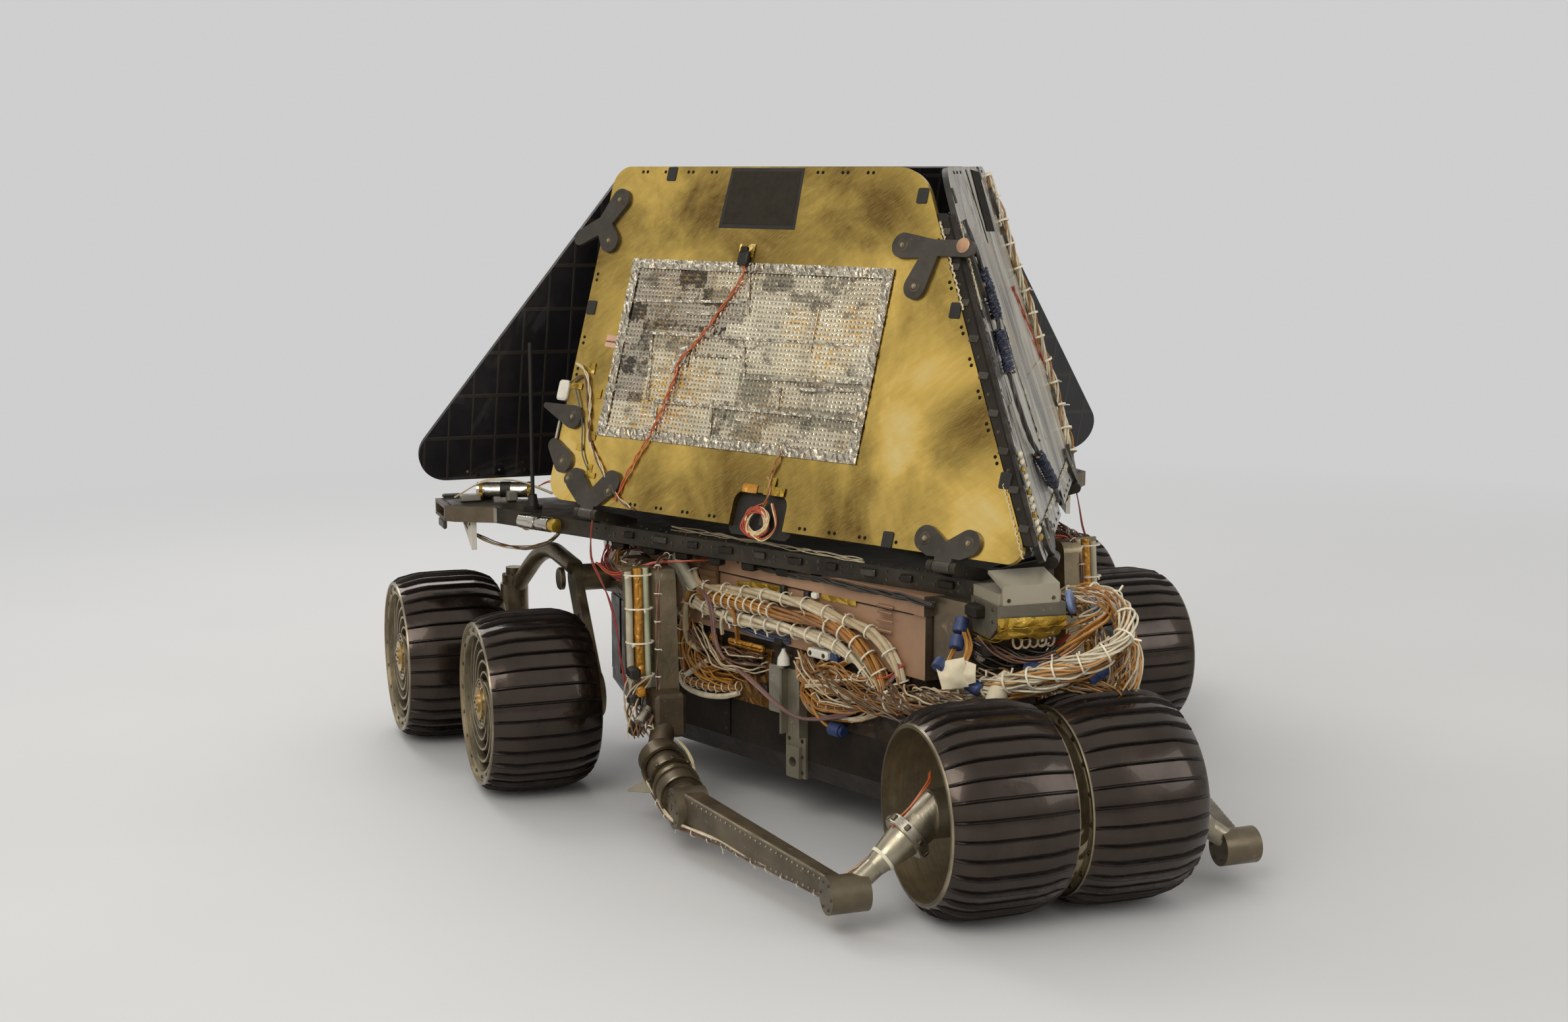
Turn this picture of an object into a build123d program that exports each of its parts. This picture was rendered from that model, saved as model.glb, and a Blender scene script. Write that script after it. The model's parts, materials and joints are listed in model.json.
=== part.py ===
# Six-wheeled mars rover with its three solar panels folded up into a tent over the deck.
# Millimetres. +X points to the nose, +Y to the rover's left, +Z up. The origin lies on the
# ground, under the middle of the wheels' outline, and the wheels stand on z = 0.
import os
from math import atan2, cos, degrees, hypot, radians, sin, tan

from build123d import *

os.makedirs("parts", exist_ok=True)

# Running and seating clearances
SEAT_GAP = 0.3              # between a piece and the curved seat that holds it
SHAFT_GAP = 0.3             # between a turning shaft and its bore
SINK = 1.0                  # how far a piece reaches into the one it is joined to

# Wheels
WHEEL_DIA = 260.0           # over the cleats
WHEEL_WIDTH = 160.0
CLEAT_HEIGHT = 5.0
CLEAT_WIDTH = 3.5
CLEAT_COUNT = 32
RIM_WALL = 4.0
RIM_STATIONS = (            # place along the axle from the open face, how far the skin lies below the crown
    (-80.0, 17.5),
    (-64.0, 8.0),
    (-35.0, 0.0),
    (35.0, 0.0),
    (58.0, 4.0),
    (80.0, 9.0),
)
HUB_RING_WIDTH = 14.0
HUB_DEPTH = 16.0
HUB_INSET = 4.0             # from the rim's outer face to the hub's face
HUB_STEPS = (               # diameter, how far each step of the boss stands above the hub's inner face
    (64.0, 12.0),
    (48.0, 16.0),
    (26.0, 19.0),
)
FLEXURE_COUNT = 9
FLEXURE_WIDTH = 3.5
FLEXURE_DEPTH = 10.0
FLEXURE_SWEEP = 160.0       # angle that a flexure winds from the boss to the ring
AXLE_DIA = 16.0

# Wheel places: x, and distance of the wheel's middle from the centreline
AXLE_Z = WHEEL_DIA / 2
FRONT_X, FRONT_Y = 517.0, 88.0
MIDDLE_X, MIDDLE_Y = -182.0, 473.0
REAR_X, REAR_Y = -517.0, 530.0

# Drive units inside the wheels
DRIVE_MOTOR_DIA = 54.0
DRIVE_GEAR_DIA = 72.0
DRIVE_HOUSING_DIA = 60.0
DRIVE_HOUSING_LENGTH = 24.0
FRONT_MOTOR_START = -62.0   # along the axle, inside the wheel's mouth
CARRIER_THICKNESS = 12.0    # the plate of a leg that a drive unit bolts to
CARRIER_DIA = 66.0
CARRIER_GAP = 13.0          # from the carrier plate to the wheel's open face
GEAR_LENGTH = 75.0
HUB_RUNNING_GAP = 6.0       # from the drive unit's end to the hub

# Body, half-widths by station
BODY_BOTTOM = 62.0
BODY_TAPER_TOP = 92.0
BODY_TAPER = 18.0           # how far the belly's outline lies inside the walls
BODY_TIERS = (              # bottom, how far the tier stands proud of the walls
    (BODY_TAPER_TOP, 0.0),
    (246.0, 4.0),
    (330.0, 8.0),
)
BODY_STATIONS = (           # x, half-width
    (-420.0, 286.0),
    (-182.0, 286.0),
    (-56.0, 235.0),
    (315.0, 86.0),
    (338.0, 77.0),
)

# Belly bolt holes, which hold the rover down for transport
BELLY_BOLTS_X = -200.0
BELLY_BOLT_SPACING_X, BELLY_BOLT_SPACING_Y = 360.0, 340.0
BELLY_BOLT_DIA = 8.4
BELLY_BOLT_DEPTH = 24.0

# Deck
DECK_TOP = 380.0
DECK_THICKNESS = 24.0
DECK_EDGE_INSET = 36.0      # from a panel's hinge line to the deck's edge
DECK_NOSE_X = 400.0
EAR_X = -502.0
EAR_Y = 545.0
EAR_WIDTH = 90.0
EAR_BEND = 30.0             # where the deck's edge turns into the ear
EAR_CHAMFER = 14.0
EAR_POCKET = (40.0, 14.0)   # depth and height of the box section's open end
EAR_WALL = 6.0

# Panels and their hinges
TENT_X = -152.0             # x of the hinge triangle's middle
HINGE_INRADIUS = 333.0      # from that middle to each hinge line
HINGE_Z = 400.0
PANEL_LEAN = 18.0           # from upright, towards the inside
PANEL_THICKNESS = 8.0
PANEL_TOP = 514.0           # up the slant, from the hinge line
PANEL_BOTTOM = 14.5
PANEL_CORNER = 35.0
WING_NOSE_INSET = 20.0      # along the hinge line, from the nose vertex to the nose edge's line
WING_NOSE_SLOPE = 29.07     # of the nose edge, from square to the hinge line
WING_REAR = 868.0           # along the hinge line, from the nose vertex
WING_CORNERS = (20.0, 33.0, 30.0, 70.0)     # low nose, low rear, top rear, top nose
NOTCH_START, NOTCH_END, NOTCH_TOP = 418.0, 512.0, 62.0
NOTCH_RADIUS = 16.0
REAR_PANEL_HALF_BOTTOM = 615.0
REAR_PANEL_HALF_TOP = 281.0
REAR_PANEL_LOW_CORNER = 45.0

HINGE_PIN_DIA = 8.0
HINGE_EYE_DIA = 16.0
KNUCKLE_WIDTH = 26.0
CHEEK_GAP = 1.0
CHEEK_WIDTH = 8.0
CHEEK_SPACE = 11.0          # room for a cheek beside the knuckle
CHEEK_CLEAR = 11.0          # up the plate, from the pin to the edge over a cheek
CLEVIS_BASE = 42.0          # how far a clevis reaches inwards over the deck
CLEVIS_BASE_THICKNESS = 5.0
BRACKET_THICKNESS = 5.0
LOBE_RADIUS = 17.0
STEM_RADIUS = 14.0
WING_HINGES = (             # along the hinge line, then stem height, then each lobe's offset and height
    (151.0, 15.0, (-33.0, 33.0), (32.0, 32.0)),
    (778.0, 14.0, (-36.0, 49.0), (36.0, 46.0)),
)
REAR_HINGES = (
    (-300.0, 14.0, (-34.0, 40.0), (34.0, 40.0)),
    (300.0, 14.0, (-34.0, 40.0), (34.0, 40.0)),
)

# Latch plates on a wing's outer face: links between two circles, each x, y and radius in the wing's frame
REAR_LATCH = (
    ((842.0, 462.0, 17.0), (866.0, 425.0, 13.0)),
    ((847.0, 400.0, 17.0), (866.0, 425.0, 13.0)),
    ((866.0, 425.0, 13.0), (908.0, 404.0, 12.0)),
)
TIP_LATCH = (
    ((845.0, 136.0, 17.0), (905.0, 149.0, 4.0)),
    ((846.0, 70.0, 17.0), (872.0, 92.0, 10.0)),
)
NOSE_LATCH = (
    ((311.0, 407.0, 17.0), (262.0, 404.0, 12.0)),
    ((279.0, 353.0, 17.0), (262.0, 404.0, 12.0)),
)
RIDGE_BAR = ((262.0, 405.0, 11.0), (207.0, 405.0, 11.0))

# Tip panels, folded against the wings' inner faces
TIP_THICKNESS = 6.0
TIP_SPACING = 6.0           # from the wing's inner face
TIP_FRONT = 600.0
TIP_REAR = 856.0
TIP_BOTTOM = 24.0
TIP_TOP = 450.0
TIP_CORNER = 12.0
TIP_BLOCK = (24.0, 44.0)
TIP_BLOCK_INSET = 14.0
TIP_BLOCK_HEIGHTS = (90.0, 330.0)

# Suspension, with distances from the centreline for the rover's left side
ROCKER_Y = 300.0            # inner face
ROCKER_THICKNESS = 30.0
ROCKER_PIVOT = (-200.0, 300.0)      # x, z
ROCKER_PIVOT_DIA = 60.0
BOGIE_PIVOT = (-302.0, 280.0)
BOGIE_PIVOT_DIA = 40.0
POST_TOP = (-40.0, 322.0)
POST_FOOT = (-26.0, 172.0)
ROCKER_RADII = (22.0, 28.0, 17.0, 17.0)     # round the bogie pivot, rocker pivot, post top and post foot
POCKET_DEPTH = 8.0
POCKET_RADIUS = 8.0
FIN_TOP, FIN_FOOT = 340.0, 190.0    # heights of the cable fin on the post
FIN_OFFSET, FIN_THICKNESS = 14.0, 4.0
FIN_Y = 368.0
ELBOW_SIZE = (56.0, 44.0, 62.0)
ELBOW_CHAMFER = 5.0
ELBOW_NECK_DIA = 34.0
ELBOW_PLACE = (-2.0, 322.0, 142.0)
ARM_START = (38.0, 345.0, 92.0)
ARM_MIDDLE = (178.0, 345.0, 60.0)
ARM_ACTUATOR = (            # place along the axis, diameter
    (0.0, 50.0), (5.0, 60.0), (30.0, 60.0), (30.0, 52.0), (62.0, 52.0), (62.0, 57.0), (66.0, 57.0),
    (66.0, 52.0), (82.0, 52.0), (82.0, 60.0), (116.0, 60.0), (116.0, 46.0), (140.0, 46.0),
)
ARM_DRUM_DIA, ARM_DRUM_LENGTH = 54.0, 44.0
ARM_SECTIONS = ((32.0, 48.0), (24.0, 26.0))     # width and height at the actuator and at the knee
KNEE_PLACE = (533.0, 262.0, 50.0)
KNEE_DIA, KNEE_LENGTH = 46.0, 50.0
STRUT = (                   # place along the axis from the knee, diameter
    (0.0, 26.0), (46.0, 26.0), (94.0, 45.0), (94.0, 58.0), (108.0, 58.0), (108.0, 48.0), (152.0, 48.0),
)
STRUT_END = (FRONT_X, 138.0, 138.0)
BOGIE_LEG_RADII = (22.0, 26.0)      # round the pivot and round the axle
BOGIE_ARM_DIA = 26.0
STEER_AXIS_Y = 420.0
STEER_ACTUATOR_BOTTOM = 185.0
STEER_ACTUATOR = (          # place above the bottom, diameter
    (0.0, 38.0), (4.0, 44.0), (50.0, 44.0), (50.0, 38.0), (65.0, 38.0), (65.0, 26.0), (76.0, 26.0),
)
BOGIE_ARM_ROUTE = ((-302.0, 374.0, 296.0), (-430.0, 388.0, 312.0), (-514.0, STEER_AXIS_Y - 1, 226.0))
STEER_SHAFT_DIA = 14.0
STEER_SHAFT_REACH = 20.0    # of the shaft into the actuator
FORK_CAP_DIA = 36.0
FORK_CAP_THICKNESS = 8.0
FORK_TOP_GAP = 1.0
FORK_WIDTH = 36.0

# Wiring on the front walls: along the wall from its rear end, height
HARNESS_ROUTES = (          # diameter, how far the wall stands proud there, route
    (20.0, 4.0, ((-50.0, 322.0), (-20.0, 301.0), (43.0, 310.0), (206.0, 318.0), (299.0, 311.0), (352.0, 292.0),
                 (382.0, 254.0))),
    (24.0, 4.0, ((-34.0, 268.0), (10.0, 276.0), (60.0, 286.0), (206.0, 292.0), (288.0, 286.0), (330.0, 268.0),
                 (352.0, 236.0))),
    (20.0, 4.0, ((30.0, 250.0), (70.0, 260.0), (206.0, 267.0), (272.0, 262.0), (304.0, 246.0), (322.0, 222.0))),
    (18.0, 0.0, ((-42.0, 232.0), (-44.0, 184.0), (-16.0, 158.0), (26.0, 150.0), (76.0, 156.0))),
    (16.0, 0.0, ((-8.0, 236.0), (-14.0, 206.0), (12.0, 186.0), (60.0, 182.0), (104.0, 186.0))),
    (18.0, 0.0, ((206.0, 214.0), (260.0, 196.0), (316.0, 192.0), (352.0, 198.0))),
)
NOSE_HARNESS_DIA = 24.0
NOSE_HARNESS_ROUTE = (
    (302.0, -112.0, 212.0), (380.0, -76.0, 230.0), (440.0, -40.0, 264.0), (520.0, 5.0, 290.0), (555.0, 55.0, 318.0),
    (522.0, 100.0, 348.0), (470.0, 110.0, 366.0), (432.0, 86.0, 366.0), (411.5, 54.1, 345.5))

# Nose and deck fittings
NOSE_BOX_END, NOSE_BOX_BOTTOM = 402.0, 264.0
NOSE_BOX_HALF_WIDTHS = (71.0, 51.0)
CAMERA_BOX_END, CAMERA_BOX_HALF_WIDTH = 478.0, 46.0
CAMERA_BOX_HEIGHTS = (322.0, 340.0)     # bottom edge of the box, bottom edge of its upright front
CAMERA_BOX_FACE = 22.0      # how far the front slopes back below
TONGUE = (72.0, 84.0, 14.0)
APRON_HALF_WIDTH, APRON_THICKNESS = 38.0, 4.0
APRON_BOTTOM, APRON_BEND = 366.0, 390.0
HOOD_BACK, HOOD_TOP = 432.0, 402.0
SIDE_BRACKET = (40.0, 4.0, 149.0)       # along the wall, off it, up
SIDE_BRACKET_PLACE = (180.0, 66.0)      # along the wall, height of its bottom
SIDE_BRACKET_FLANGE = (4.0, 16.0, 90.0)
SIDE_BRACKET_TAB = (26.0, 10.0, 44.0)
SIDE_BRACKET_HOLE = 14.0
GUSSET_Y = 500.0
GUSSET_INSET = 4.0
GUSSET_LENGTH, GUSSET_DROP, GUSSET_THICKNESS = 90.0, 44.0, 8.0
HINGE_MOTORS = (            # diameter, start, end; the first lies on the deck, the second hangs below it
    (24.0, (-462.0, 487.0, 396.0), (-433.0, 405.0, 396.0)),
    (22.0, (-465.0, 414.0, 340.0), (-434.0, 363.0, 340.0)),
)
HINGE_MOTOR_FOOT = 34.0
REAR_CAMERA_BOX = (34.0, 84.0, 40.0)
REAR_LENS_DIA, REAR_LENS_LENGTH, REAR_LENS_Y = 22.0, 8.0, 24.0

# Deck equipment under the tent: turned pieces as (place along the axis, diameter) points
MAST_START = (-330.0, 0.0, 421.0)
MAST = ((0.0, 48.0), (14.0, 64.0), (34.0, 64.0), (34.0, 54.0), (236.0, 54.0), (236.0, 62.0), (262.0, 62.0),
        (262.0, 54.0), (436.0, 54.0), (436.0, 66.0), (470.0, 66.0), (484.0, 50.0), (520.0, 50.0))
MAST_RESTS_X = (-270.0, 130.0)
MAST_REST = (30.0, 40.0)
CAMERA_BAR = (64.0, 280.0, 46.0)
CAMERA_BARRELS = (          # y, diameter, length
    (112.0, 38.0, 14.0),
    (64.0, 24.0, 10.0),
)
HGA_PLACE = (-190.0, 200.0, DECK_TOP)
HGA = ((0.0, 56.0), (6.0, 56.0), (6.0, 40.0), (30.0, 40.0), (30.0, 64.0), (38.0, 64.0), (38.0, 232.0), (42.0, 240.0),
       (54.0, 240.0), (54.0, 228.0), (49.0, 228.0), (49.0, 96.0), (55.0, 90.0))
LGA_PLACE = (-180.0, -175.0, DECK_TOP)
LGA = ((0.0, 56.0), (6.0, 56.0), (6.0, 36.0), (84.0, 36.0), (84.0, 42.0), (94.0, 42.0), (120.0, 12.0))
WHIP_PLACE = (-351.0, -425.0, DECK_TOP)
WHIP = ((0.0, 28.0), (5.0, 28.0), (5.0, 18.0), (22.0, 12.0), (22.0, 6.0), (250.0, 6.0))
TARGET_PLACE = (-350.0, -190.0, DECK_TOP)
TARGET_BASE = (60.0, 60.0, 6.0)
TARGET = ((6.0, 44.0), (9.0, 44.0), (9.0, 10.0), (28.0, 6.0), (30.0, 14.0), (40.0, 14.0))

# Worked out from the sizes above
RIM_RADIUS = WHEEL_DIA / 2 - CLEAT_HEIGHT
HALF_WIDTH = WHEEL_WIDTH / 2
HUB_SEAT_RADIUS = RIM_RADIUS - RIM_STATIONS[-1][1] - RIM_WALL
HUB_OUTER_Z = HALF_WIDTH - HUB_INSET
HUB_INNER_Z = HUB_OUTER_Z - HUB_DEPTH
CARRIER_OUTER_Z = -HALF_WIDTH - CARRIER_GAP
CARRIER_INNER_Z = CARRIER_OUTER_Z - CARRIER_THICKNESS
DECK_BOTTOM = DECK_TOP - DECK_THICKNESS
NOSE_X = BODY_STATIONS[-1][0] + BODY_TIERS[-1][1]
STANDING = (Align.CENTER, Align.CENTER, Align.MIN)
SIDES = (("left", 1), ("right", -1))
WHEELS = (                  # name, x, y on the left side, +1 where the open face looks outboard
    ("front", FRONT_X, FRONT_Y, 1),
    ("middle", MIDDLE_X, MIDDLE_Y, -1),
    ("rear", REAR_X, REAR_Y, -1),
)


def save(name, shape):
    """Writes one sub-part under its node's name."""
    export_step(shape, f"parts/{name}.step")


def on_side(shape, side):
    """Gives the left side's shape, or its mirror image for the right side."""
    return shape if side > 0 else mirror(shape, about=Plane.XZ)


def rod(start, end, diameter):
    """A round bar from one point to another."""
    start, end = Vector(*start), Vector(*end)
    along = end - start
    plane = Plane(origin=start, z_dir=along)
    return plane * Cylinder(diameter / 2, along.length, align=STANDING)


def turned(start, direction, outline):
    """A round piece, from the diameters at places along its axis."""
    points = [(0, outline[0][0]), *[(dia / 2, along) for along, dia in outline], (0, outline[-1][0])]
    section = Plane.XZ * make_face(Polyline(*points, close=True))
    return Plane(origin=start, z_dir=direction) * revolve(section, Axis.Z)


def slab(points, thickness, plane):
    """A flat plate: an outline on a plane, made thick along the plane's normal."""
    return extrude(plane * make_face(Polyline(*points, close=True)), thickness, dir=plane.z_dir)


def strap(*circles):
    """The tight outline round circles, each given as x, y and radius."""
    return make_hull([edge for x, y, radius in circles for edge in (Pos(x, y) * Circle(radius)).edges()])


def smooth_path(points):
    """Straight runs joined by arcs that are nearly as large as the runs allow."""
    radii = []
    for before, here, after in zip(points, points[1:], points[2:]):
        first = Vector(*here) - Vector(*before)
        second = Vector(*after) - Vector(*here)
        turn = radians(first.get_angle(second))
        radii.append(0.45 * min(first.length, second.length) / tan(turn / 2))
    return FilletPolyline(*points, radius=radii)


def tube(points, diameter):
    """A round tube or bundle that follows a smooth path."""
    path = smooth_path(points)
    return sweep(Plane(origin=path @ 0, z_dir=path % 0) * Circle(diameter / 2), path=path)


# Wheels
def wheel_plane(x, y, open_out):
    """The wheel's own frame: z along the axle, towards the face that the hub closes."""
    return Plane(origin=(x, y, AXLE_Z), x_dir=(1, 0, 0), z_dir=(0, -open_out, 0))


def rim():
    """The open drum of the wheel with its cleats."""
    skin = [(RIM_RADIUS - drop, place) for place, drop in RIM_STATIONS]
    seat = [(HUB_SEAT_RADIUS, HALF_WIDTH), (HUB_SEAT_RADIUS, HUB_INNER_Z - SEAT_GAP)]
    inside = [(radius - RIM_WALL, place) for radius, place in reversed(skin[:4])]
    drum = revolve(Plane.XZ * make_face(Polyline(*skin, *seat, *inside, close=True)), Axis.Z)
    ridge = skin[1:5]
    top = [(radius + CLEAT_HEIGHT, place) for radius, place in ridge]
    root = [(radius - RIM_WALL / 2, place) for radius, place in reversed(ridge)]
    cleat = extrude(Plane.XZ * make_face(Polyline(*top, *root, close=True)), CLEAT_WIDTH / 2, both=True)
    return drum.fuse(*[Rot(0, 0, 360 * i / CLEAT_COUNT) * cleat for i in range(CLEAT_COUNT)])


def spiral(start_radius, end_radius, offset):
    """Five points of a spiral that winds from one radius to another, moved outwards by offset."""
    points = []
    for step in range(5):
        angle = radians(FLEXURE_SWEEP * step / 4)
        radius = start_radius + (end_radius - start_radius) * step / 4 + offset
        points.append((radius * cos(angle), radius * sin(angle)))
    return points


def hub():
    """The wheel's closed face: a ring, a stepped boss and spiral flexures between them."""
    outer = HUB_SEAT_RADIUS - SEAT_GAP
    inner = outer - HUB_RING_WIDTH
    boss = HUB_STEPS[0][0] / 2
    body = extrude(Circle(outer) - Circle(inner), HUB_DEPTH)
    for diameter, height in HUB_STEPS:
        body += Cylinder(diameter / 2, height, align=STANDING)
    a = spiral(boss - SINK, inner + SINK, FLEXURE_WIDTH / 2)
    b = spiral(boss - SINK, inner + SINK, -FLEXURE_WIDTH / 2)
    edges = [ThreePointArc(*a[:3]), ThreePointArc(*a[2:]), Line(a[4], b[4]), ThreePointArc(b[4], b[3], b[2]),
             ThreePointArc(b[2], b[1], b[0]), Line(b[0], a[0])]
    flexure = extrude(make_face(edges), FLEXURE_DEPTH)
    body = body.fuse(*[Rot(0, 0, 360 * i / FLEXURE_COUNT) * flexure for i in range(FLEXURE_COUNT)])
    body -= Cylinder(AXLE_DIA / 2 + SHAFT_GAP, HUB_DEPTH * 0.75, align=STANDING)
    return Pos(0, 0, HUB_INNER_Z) * body


def drive_unit(start):
    """Motor, gearbox and axle, in the wheel's own frame, from a place along the axle to the hub."""
    gear_end = HUB_INNER_Z - HUB_RUNNING_GAP
    gear_start = gear_end - GEAR_LENGTH
    housing_end = start + DRIVE_HOUSING_LENGTH
    axle_end = gear_end + HUB_RUNNING_GAP + HUB_DEPTH * 0.7
    outline = ((start, DRIVE_HOUSING_DIA), (housing_end, DRIVE_HOUSING_DIA), (housing_end, DRIVE_MOTOR_DIA),
               (gear_start, DRIVE_MOTOR_DIA), (gear_start, DRIVE_GEAR_DIA), (gear_end, DRIVE_GEAR_DIA),
               (gear_end, AXLE_DIA), (axle_end, AXLE_DIA))
    return turned((0, 0, 0), (0, 0, 1), outline)


def carrier():
    """The round end of a leg, in the wheel's own frame, that a drive unit bolts to."""
    return Pos(0, 0, CARRIER_INNER_Z) * Cylinder(CARRIER_DIA / 2, CARRIER_THICKNESS, align=STANDING)


def wheels():
    drum, disc = rim(), hub()
    for name, x, y, open_out in WHEELS:
        plane = wheel_plane(x, y, open_out)
        for side_name, side in SIDES:
            save(f"{name}_{side_name}_rim", on_side(plane * drum, side))
            save(f"{name}_{side_name}_hub", on_side(plane * disc, side))


# Body
def body_outline(grow):
    """The body's plan, with its walls moved out by grow."""
    left = [(x, y + grow) for x, y in BODY_STATIONS]
    left[-1] = (left[-1][0] + grow, left[-1][1])
    left[0] = (left[0][0] - grow, left[0][1])
    return left + [(x, -y) for x, y in reversed(left)]


def body_shell():
    belly = [Plane.XY.offset(z) * make_face(Polyline(*body_outline(grow), close=True))
             for z, grow in ((BODY_BOTTOM, -BODY_TAPER), (BODY_TAPER_TOP, 0.0))]
    shape = loft(belly, ruled=True)
    tops = [bottom for bottom, proud in BODY_TIERS[1:]] + [DECK_BOTTOM]
    for (bottom, proud), top in zip(BODY_TIERS, tops):
        shape += slab(body_outline(proud), top - bottom, Plane.XY.offset(bottom))
    for place in GridLocations(BELLY_BOLT_SPACING_X, BELLY_BOLT_SPACING_Y, 2, 2):
        x, y = BELLY_BOLTS_X + place.position.X, place.position.Y
        shape -= rod((x, y, BODY_BOTTOM), (x, y, BODY_BOTTOM + BELLY_BOLT_DEPTH), BELLY_BOLT_DIA)
    return shape


# Deck
def side_normal():
    """Outward direction of the left wing's hinge line, in plan."""
    return Vector(cos(radians(60)), sin(radians(60)), 0)


def edge_y(x, inradius):
    """Left side's y on a line at a given distance from the tent's middle."""
    n = side_normal()
    return (inradius - (x - TENT_X) * n.X) / n.Y


def deck():
    inradius = HINGE_INRADIUS - DECK_EDGE_INSET
    ear_front_x = EAR_X + EAR_WIDTH
    left = [
        (DECK_NOSE_X, edge_y(DECK_NOSE_X, inradius)),
        (ear_front_x + EAR_BEND, edge_y(ear_front_x + EAR_BEND, inradius)),
        (ear_front_x, EAR_Y - EAR_CHAMFER),
        (ear_front_x - EAR_CHAMFER, EAR_Y),
        (EAR_X, EAR_Y),
        (EAR_X, EAR_Y - EAR_WIDTH),
        (TENT_X - inradius, EAR_Y - 1.4 * EAR_WIDTH),
    ]
    right = [(x, -y) for x, y in reversed(left)]
    plate = slab(left + right, DECK_THICKNESS, Plane.XY.offset(DECK_BOTTOM))
    depth, height = EAR_POCKET
    middle_z = (DECK_TOP + DECK_BOTTOM) / 2
    pocket_x = EAR_X + (EAR_WIDTH - EAR_CHAMFER) / 2
    for side_name, side in SIDES:
        plate -= Pos(pocket_x, side * (EAR_Y - depth / 2), middle_z) * Box(
            EAR_WIDTH - EAR_CHAMFER - 2 * EAR_WALL, depth, height)
    return plate


# Panels
def wing_plane():
    """Left wing's frame: x along the hinge line from the nose, y up the slant, z outwards."""
    n = side_normal()
    nose = (TENT_X + 2 * HINGE_INRADIUS, 0, HINGE_Z)
    out = n * cos(radians(PANEL_LEAN)) + Vector(0, 0, sin(radians(PANEL_LEAN)))
    return Plane(origin=nose, x_dir=(-n.Y, n.X, 0), z_dir=out)


def rear_plane():
    """Rear panel's frame: x towards the rover's right, y up the slant, z outwards."""
    out = Vector(-cos(radians(PANEL_LEAN)), 0, sin(radians(PANEL_LEAN)))
    return Plane(origin=(TENT_X - HINGE_INRADIUS, 0, HINGE_Z), x_dir=(0, -1, 0), z_dir=out)


def rounded(points, radii):
    """An outline with its corners rounded, one radius for each point."""
    face = make_face(Polyline(*points, close=True))
    for (x, y), radius in zip(points, radii):
        corner = face.vertices().sort_by_distance((x, y, 0))[0]
        face = fillet(corner, radius)
    return face


def wing_outline():
    slope = tan(radians(WING_NOSE_SLOPE))
    points = [
        (WING_NOSE_INSET + slope * PANEL_BOTTOM, PANEL_BOTTOM),
        (WING_REAR, PANEL_BOTTOM),
        (WING_REAR, PANEL_TOP),
        (WING_NOSE_INSET + slope * PANEL_TOP, PANEL_TOP),
    ]
    notch_height = NOTCH_TOP - PANEL_BOTTOM + NOTCH_RADIUS
    notch = Pos((NOTCH_START + NOTCH_END) / 2, NOTCH_TOP - notch_height / 2) * RectangleRounded(
        NOTCH_END - NOTCH_START, notch_height, NOTCH_RADIUS)
    return rounded(points, WING_CORNERS) - notch


def rear_outline():
    points = [
        (-REAR_PANEL_HALF_BOTTOM, PANEL_BOTTOM),
        (REAR_PANEL_HALF_BOTTOM, PANEL_BOTTOM),
        (REAR_PANEL_HALF_TOP, PANEL_TOP),
        (-REAR_PANEL_HALF_TOP, PANEL_TOP),
    ]
    return rounded(points, (REAR_PANEL_LOW_CORNER, REAR_PANEL_LOW_CORNER, PANEL_CORNER, PANEL_CORNER))


def panel(plane, outline):
    return extrude(plane.offset(-PANEL_THICKNESS) * outline, PANEL_THICKNESS, dir=plane.z_dir)


def knuckles(plane, hinges):
    """The panel's half of its hinges: an eye on the pin and a forked plate with two round lobes."""
    shapes = []
    for place, stem_height, *lobes in hinges:
        stem = (place, stem_height, STEM_RADIUS)
        face = strap(stem, (place, 0, KNUCKLE_WIDTH / 2))
        for offset, height in lobes:
            face += strap((place + offset, height, LOBE_RADIUS), stem)
        face -= Pos(place, -KNUCKLE_WIDTH / 2) * Rectangle(2 * KNUCKLE_WIDTH, KNUCKLE_WIDTH)
        for side in (-1, 1):
            face -= Pos(place + side * (KNUCKLE_WIDTH + CHEEK_SPACE) / 2, 0) * Rectangle(CHEEK_SPACE, 2 * CHEEK_CLEAR)
        plate = extrude(plane * face, BRACKET_THICKNESS, dir=plane.z_dir)
        eye_plane = Plane(origin=plane.from_local_coords(Vector(place, 0, 0)), z_dir=plane.x_dir)
        eye = eye_plane * Cylinder(HINGE_EYE_DIA / 2, KNUCKLE_WIDTH)
        bore = eye_plane * Cylinder(HINGE_PIN_DIA / 2 + SHAFT_GAP, 2 * KNUCKLE_WIDTH)
        shapes.append(plate + eye - bore)
    return Compound(children=shapes)


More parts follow.
